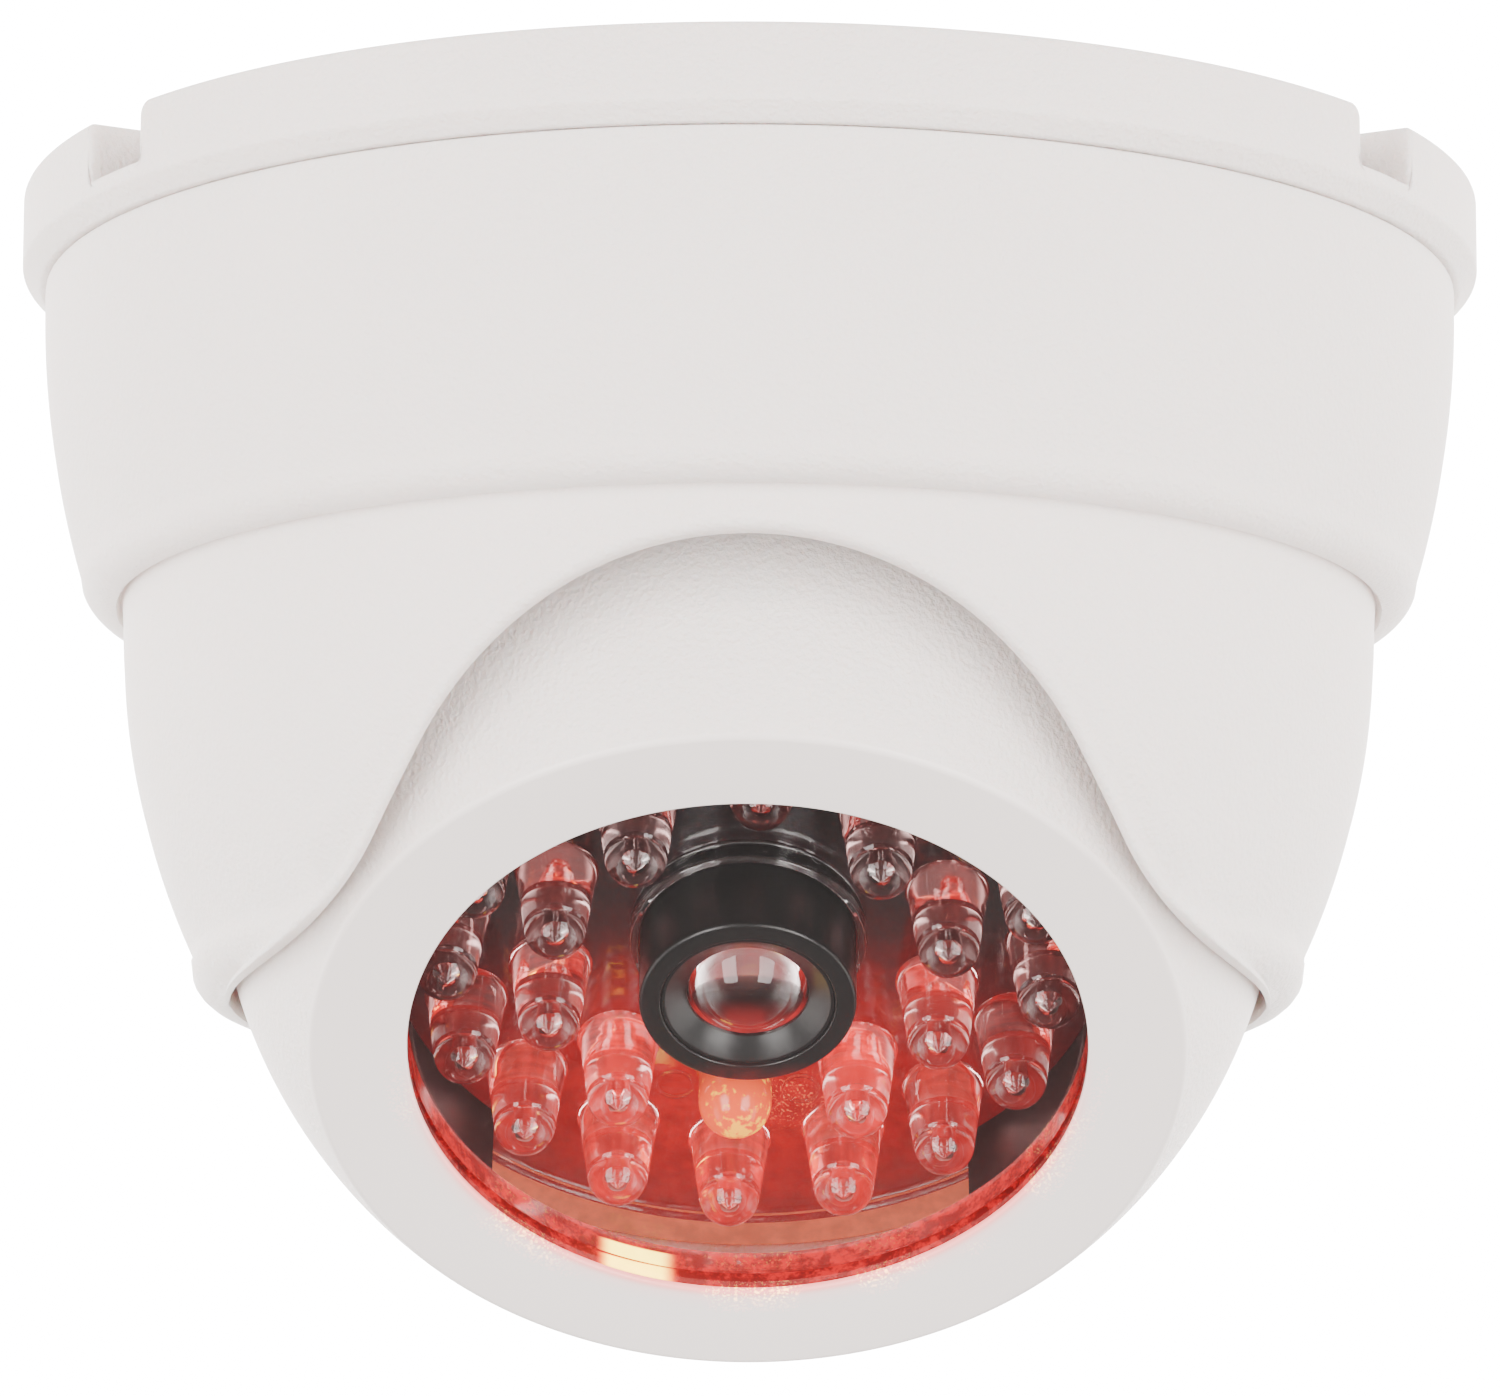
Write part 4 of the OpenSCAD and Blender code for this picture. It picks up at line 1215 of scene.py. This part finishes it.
flash_r, flash_foot, flash_dome = 2.5, 5.5, 11.8
flash_body = [(0, flash_foot), (2.85, flash_foot), (2.9, 5.6), (2.9, 6.3), (flash_r, 6.35), (flash_r, 9),
              (flash_r, flash_dome - 0.3)]
flash_body += arc(0, flash_dome, flash_r, 2, 90, 24)
flash_body[-1] = (0, flash_dome + flash_r)
flash_place = led_place(inner_ring, inner_ring[1] // 2)
ball_piece("flashing_led", [moved(lathe(flash_body, 64), flash_place)], led_lit, "flash_led")
lead_pitch = 2.54
lead_bar = block((-0.25, 0.25), (-0.25, 0.25), (0.2, flash_foot), 0.05)
leads = [moved(lead_bar, flash_place @ shift(side * lead_pitch / 2, 0, 0)) for side in (-1, 1)]
ball_piece("leads", leads, nickel, "led_leads")

# ---------------------------------------------------------------- lens

bore_r, seat_r, screw_hole_r = 5.85, 4.65, 0.95
barrel = rounded([(screw_hole_r, plate_k, 0), (barrel_r, plate_k, 0), (barrel_r, barrel_front, 0.28),
                  (bore_r, barrel_front, 0.12), (bore_r, 14.9, 0.05), (seat_r, 14.9, 0.05),
                  (seat_r, 13.8, 0.05), (3.9, 13.8, 0.05), (3.9, 12.3, 0.1), (screw_hole_r, 12.3, 0)], 6)
retainer = rounded([(4.1, 14.92, 0.05), (bore_r - 0.05, 14.92, 0.05), (bore_r - 0.05, 16.2, 0.05),
                    (5.55, 16.2, 0.08), (4.1, 15.25, 0.08)], 4)
dome_h = lens_top_k - lens_seat_k
lens_sphere_r = (lens_dome_r**2 + dome_h**2) / (2 * dome_h)
lens_c = lens_top_k - lens_sphere_r
cap_start = math.degrees(math.asin((lens_seat_k - lens_c) / lens_sphere_r))
lens = rounded([(0, 13.9, 0), (4.6, 13.9, 0.1), (4.6, lens_seat_k, 0.1), (4.1, lens_seat_k, 0)])
lens = lens[:-1] + arc(0, lens_c, lens_sphere_r, cap_start, 90, 28)
lens[-1] = (0, lens_top_k)
ball_piece("barrel", [lathe(barrel, 160)], black_gloss, "lens_barrel")
ball_piece("retainer", [lathe(retainer, 128)], black_gloss, "lens_retainer")
ball_piece("dome_lens", [lathe(lens, 128)], clear_lens, "lens_dome")

# ---------------------------------------------------------------- screws

turn_over = Matrix.Rotation(math.pi, 4, "X")


def screw_set(name, part, places):
    """The same screw at each place in the eyeball, for the node of the same name."""
    ball_piece(name + "_set" if len(places) > 1 else name + "_1", [moved(part, place) for place in places],
               steel, name + "s" if len(places) > 1 else name)


clip_screws = []
for side in (-1, 1):
    for y in (-4.1, 4.1):
        spot = shift(side * 36.9, y, ball_centre.z + 4) @ turn_over
        clip_screws.append(moved(pan_screw(1.3, 0.9, 0.7, 7.0), spot))
piece("clip_screw_set", clip_screws, [steel], "cover", ["clip_screws"])
screw_set("shell_screw", pan_screw(2.0, 1.4, 0.88, 11.4), [on_circle(a, 31.6, -9.5) for a in SHELL_POSTS])
screw_set("carrier_screw", pan_screw(1.8, 1.3, 0.88, 6.4), [on_circle(a, 31.0, 4.7) for a in CARRIER_POSTS])
screw_set("barrel_screw", pan_screw(2.2, 1.4, 0.88, 4.5), [shift(0, 0, backing_k)])
screw_set("board_screw", pan_screw(1.2, 0.8, 0.6, 4.4, 0.4),
          [shift(0, 0, board_low) @ place for place in BOARD_SCREWS])
screw_set("box_screw", pan_screw(1.8, 1.2, 0.9, 6.0),
          [shift(side * box_screw_x, 0, -7.4) @ turn_over for side in (-1, 1)])

# ---------------------------------------------------------------- pivot clips


def pivot_clip(side):
    """A clip over a pivot pin: two feet and a bridge, with the half-round of the pin between."""
    half, height, bevel = 5.5, 4.0, 0.4
    x = sorted((side * 35.4, side * 38.4))
    over_pin = [(-pivot_seat_r, 0.0)] + arc(0, 0, pivot_seat_r, 180, 0, 20)[1:-1] + [(pivot_seat_r, 0.0)]
    outline = [(-half, 0.0)] + over_pin + [(half, 0.0), (half, height - bevel), (half - bevel, height)]
    outline += [(bevel - half, height), (-half, height - bevel)]
    verts = [(px, py, ball_centre.z + pz) for px in x for py, pz in outline]
    n = len(outline)
    faces = [tuple(range(n)), tuple(range(2 * n - 1, n - 1, -1))]
    faces += [(i, (i + 1) % n, n + (i + 1) % n, n + i) for i in range(n)]
    return verts, faces


piece("pivot_clip_pair", [pivot_clip(-1), pivot_clip(1)], [white_grained], "cover", ["pivot_clips"],
      sharp=30)

# ---------------------------------------------------------------- driver board

part_row_w = -19.5
lead_row_w = -13.8


def board_sheet():
    """The board with the holes for its two screws."""
    outline = rounded([(-9, -23, 0.6), (9, -23, 0.6), (9, -7, 0.6), (-9, -7, 0.6)])
    holes = [circle(side * board_screw[0], board_screw[1], 0.7, 20) for side in (-1, 1)]
    return sheet_with_holes([outline] + holes, board_low, 2.0, 0.06)


def solder_joints():
    """The joints of the resistor, the LED's leads and the capacitor."""
    places = [(-7.6, part_row_w), (-0.9, part_row_w)]
    places += [(FLASH_AT[0] + side * lead_pitch / 2, lead_row_w) for side in (-1, 1)]
    places += [(-5.5, -11.8), (-8, -15)]
    return [moved(rod(0.55, 0.25, 0.85, 0.25, 16), shift(x, y, 0)) for x, y in places]


def copper_tracks():
    """The tracks between the parts."""
    runs = (((-7.6, -1.0), (-20.9, -20.5)),
            ((-1.2, -0.8), (-20.5, lead_row_w)),
            ((0.3, 0.7), (-18.0, lead_row_w)))
    return [block(x, y, (0.72, 0.85), 0.02) for x, y in runs]


ball_piece("board", [board_sheet()] + solder_joints() + copper_tracks(), board_brown, "driver_board")

blob_r, blob_h = 3, 1.3
blob = [(0, board_low)] + [(blob_r * math.cos(a), board_low - blob_h * math.sin(a))
                           for a in np.linspace(0, math.pi / 2, 14)]
blob[-1] = (0, board_low - blob_h)
chip = moved(lathe(blob, 40), shift(3.5, -18.6, 0))
ball_piece("chip_blob", [chip], resin_black, "driver_chip")

resistor = [(0, 0), (0.85, 0.05), (1.0, 0.4), (1.0, 1.2), (0.86, 1.5), (0.86, 4.1), (1.0, 4.4), (1.0, 5.2),
            (0.85, 5.55), (0, 5.6)]
lay_down = shift(-7, part_row_w, -0.25) @ Matrix.Rotation(math.pi / 2, 4, "Y")
can_r = 2.2
capacitor = rounded([(0, -3.2, 0), (can_r, -3.2, 0.3), (can_r, 0.1, 0.2), (can_r - 0.2, 0.25, 0.1),
                     (can_r, 0.45, 0.1), (can_r, board_low, 0.1), (0, board_low, 0)])
small_parts = [moved(lathe(resistor, 32), lay_down), moved(lathe(capacitor, 40), shift(-5.5, -15, 0))]
ball_piece("resistor_and_capacitor", small_parts, resistor_tan, "board_parts")

# ---------------------------------------------------------------- battery box


box_half = 25.5
box_side = 12
box_front = -5.8
box_back = -18
cell_w = 5.6
cell_k = -12.6
cell_r = 5.15
contact_u = 24.0


def box_parts():
    """The battery box: a floor, four walls, the rib between the cells and two ears."""
    inside = box_front - 0.4
    parts = [block((-box_half, box_half), (-box_side, box_side), (box_front - 1.2, box_front), 0.25)]
    for side in (-1, 1):
        end = sorted((side * (box_half - 1.15), side * box_half))
        wall = sorted((side * (box_side - 1.15), side * box_side))
        parts.append(block(end, (-box_side, box_side), (box_back, inside), 0.2))
        parts.append(block((-box_half, box_half), wall, (box_back, inside), 0.2))
        root, tip = side * 25.2, side * 31.6
        ear = rounded([(root, -3, 0), (tip, -3, 2.2), (tip, 3, 2.2), (root, 3, 0)], 6)
        parts.append(sheet_with_holes([ear, circle(side * box_screw_x, 0, 1.05, 24)], -8.6, -7.4, 0.12))
    parts.append(block((1 - box_half, box_half - 1), (-0.3, 0.3), (-15, inside), 0.1))
    return parts


ball_piece("cell_box", box_parts(), black_box, "battery_box")
contacts = []
for side in (-1, 1):
    for w in (-cell_w, cell_w):
        thick = sorted((side * contact_u, side * (contact_u + 0.3)))
        contacts.append(block(thick, (w - 4.2, w + 4.2), (-16.8, -8), 0.08))
ball_piece("contacts", contacts, nickel, "contact_plates")


def cell_spring():
    """A conical spring that presses on a cell, 3.5 mm long."""
    turns, steps, wire_r, length = 3, 32, 0.35, 3.5
    wide, narrow = 3.2, 2.0
    line = []
    for i in range(turns * steps + 1):
        t = i / (turns * steps)
        r = wide - (wide - narrow) * t
        a = 2 * math.pi * i / steps
        line.append(Vector((r * math.cos(a), r * math.sin(a), wire_r + (length - 2 * wire_r) * t)))
    return wire(line, wire_r, 10)


def cell():
    """An AAA cell from its positive end, in two materials: 0 is the jacket, 1 is bare metal."""
    part = lathe(rounded([(0, 0, 0), (1.9, 0, 0.3), (1.9, 1.1, 0.1), (4.6, 1.1, 0.2), (cell_r, 1.6, 0.5),
                          (cell_r, 44.5, 0.5), (4.4, 44.5, 0.1), (4.2, 44.4, 0.1), (0, 44.4, 0)], 4), 64)
    return part, [int(not (1.6 < z < 44.3 and r > 4.9)) for r, z in face_middles(part)]


springs, cells = [], []
for side in (-1, 1):
    quarter = Matrix.Rotation(side * math.pi / 2, 4, "Y")
    springs.append(moved(cell_spring(), shift(-side * contact_u, side * cell_w, cell_k) @ quarter))
    body, numbers = cell()
    cells.append((*moved(body, shift(side * contact_u, side * cell_w, cell_k) @ quarter.inverted()), numbers))
ball_piece("springs", springs, nickel, "battery_springs")
piece("cells", cells, [cell_sleeve, nickel], "eyeball", ["batteries"], IN_BALL)

# ---------------------------------------------------------------- switch and wires

switch_w = (12, 17)
switch_k = (-18, -12.5)


def switch_parts():
    """The switch's case, made of blocks that leave the slider's slot open at the back."""
    parts = [block(u, switch_w, switch_k, 0.2) for u in ((-6, -2.7), (2.7, 6))]
    parts += [block((-3, 3), w, switch_k, 0.15) for w in ((switch_w[0], 13.4), (15.6, switch_w[1]))]
    return parts + [block((-3, 3), (13, 16), (-15.5, switch_k[1]), 0.1)]


def slider_parts():
    """The slider with three grip ribs."""
    low, pitch, rib = -2.6, 0.8, 0.18
    across = (13.5, 15.5)
    parts = [block((low, 0.6), across, (-19.9, -15.6), 0.2)]
    for i in (1, 2, 3):
        middle = low + pitch * i
        parts.append(block((middle - rib, middle + rib), across, (-20.35, -19.8), 0.08))
    return parts


ball_piece("switch_case", switch_parts(), black_box, "switch_body")
piece("slider_knob", slider_parts(), [nylon], "slider", ["switch_slider"], IN_BALL)

wire_r = 0.55
feed = [(-26.1, 6, -12), (-27.3, 6.2, -8), (-25.8, 7.5, -4.3),
        (-18, 13, -4.6), (-13, 14.6, -9), (-6.45, 14.5, -14)]
lead = [(-3, 14.5, -12.45), (-3, 14.5, -7.5), (-4, 11.8, -3.8),
        (-5, 4, -2.4), (-5, -4.6, 0.4), (-5, -6.4, 1.4)]
route = [(-26.1, -5, -12), (-28, -7, -10), (-24, -11, -3), (-16, -13, 0), (-9.7, -14, 1.4)]
red_wires = [wire(smooth_path(line), wire_r) for line in (feed, lead)]
ball_piece("wires_red", red_wires, red_pvc, "red_wires")
ball_piece("wire_black", [wire(smooth_path(route), wire_r)], black_pvc, "black_wire")

# ---------------------------------------------------------------- stage, lights and camera


def backdrop_sheet(size, location, lean, glow):
    """A pale glowing square behind the dome camera; lean is its turn from lying flat."""
    half = size / 2
    corners = [(-half, -half, 0), (half, -half, 0), (half, half, 0), (-half, half, 0)]
    mesh = bpy.data.meshes.new("backdrop")
    mesh.from_pydata(corners, [], [(0, 1, 2, 3)])
    obj = bpy.data.objects.new("backdrop", mesh)
    obj.location = location
    obj.rotation_euler = (lean, 0, 0)
    paper = coloured("floor_pale", (0.86, 0.86, 0.86), 0.8, 0.99, 60.0)
    shader = paper.node_tree.nodes["Principled BSDF"]
    shader.inputs["Emission Color"].default_value = (1, 0.99, 0.985, 1)
    shader.inputs["Emission Strength"].default_value = glow
    mesh.materials.append(paper)
    bpy.context.scene.collection.objects.link(obj)


ROOM = 5.3
ROOM_DARK = 0.05
# direction of each dark way, and the cosines from it where its edge starts and where it is full
DARK_WAYS = (
    ((0.0, -0.95, -0.30), 0.25, 0.65),
    ((0.0, 0.12, -0.99), 0.55, 0.86),
    ((0.0, -0.70, 0.71), 0.45, 0.80),
)

backdrop_sheet(0.9, (0, 1.5, 0.23), math.radians(90 + 11), glow=18.0)


def room_light():
    """A bright even room, dark straight below, in front, and above in front."""
    world = bpy.data.worlds.new("studio")
    world.use_nodes = True
    tree = world.node_tree
    background = tree.nodes["Background"]
    background.inputs["Color"].default_value = (1.0, 0.955, 0.93, 1)
    way = tree.nodes.new("ShaderNodeTexCoord")
    light = None
    for direction, edge, full in DARK_WAYS:
        along = tree.nodes.new("ShaderNodeVectorMath")
        along.operation = "DOT_PRODUCT"
        tree.links.new(way.outputs["Generated"], along.inputs[0])
        along.inputs[1].default_value = direction
        fade = tree.nodes.new("ShaderNodeMapRange")
        fade.interpolation_type = "SMOOTHSTEP"
        tree.links.new(along.outputs["Value"], fade.inputs[0])
        for socket, value in zip(fade.inputs[1:5], (edge, full, 1.0, ROOM_DARK)):
            socket.default_value = value
        total = tree.nodes.new("ShaderNodeMath")
        total.operation = "MULTIPLY"
        tree.links.new(fade.outputs[0], total.inputs[0])
        if light is None:
            total.inputs[1].default_value = ROOM
        else:
            tree.links.new(light, total.inputs[1])
        light = total.outputs[0]
    tree.links.new(light, background.inputs["Strength"])
    bpy.context.scene.world = world


room_light()


def softbox(name, location, target, width, height, radiance, colour=(1, 0.96, 0.94)):
    """A soft rectangular light that looks at a point."""
    light = bpy.data.lights.new(name, "AREA")
    light.shape = "RECTANGLE"
    light.size, light.size_y = width, height
    light.energy = radiance * math.pi * width * height
    light.color = colour
    obj = bpy.data.objects.new(name, light)
    obj.location = location
    aim = Vector(target) - Vector(location)
    obj.rotation_euler = aim.to_track_quat("-Z", "Y").to_euler()
    bpy.context.scene.collection.objects.link(obj)


middle = (0, 0, -0.04)
for side in (-1, 1):
    softbox("side_box", (side * 0.50, -0.76, -0.12), middle, 0.42, 1.0, 14.5)

CAMERA_DISTANCE = 0.600
CAMERA_DOWN = math.radians(11.08)
CAMERA_ROLL = math.radians(0.16)
aim_at = Vector((0, 0, -0.0341))
camera = bpy.data.cameras.new("camera")
camera.sensor_width = 36
camera.lens = 210.7
camera.shift_x = 0.0009
camera.clip_start = 0.01
holder = bpy.data.objects.new("camera", camera)
holder.location = aim_at + CAMERA_DISTANCE * Vector((0, -math.cos(CAMERA_DOWN), -math.sin(CAMERA_DOWN)))
facing = (aim_at - holder.location).to_track_quat("-Z", "Y").to_matrix().to_4x4()
holder.rotation_euler = (facing @ Matrix.Rotation(CAMERA_ROLL, 4, "Z")).to_euler()
bpy.context.scene.collection.objects.link(holder)
bpy.context.scene.camera = holder
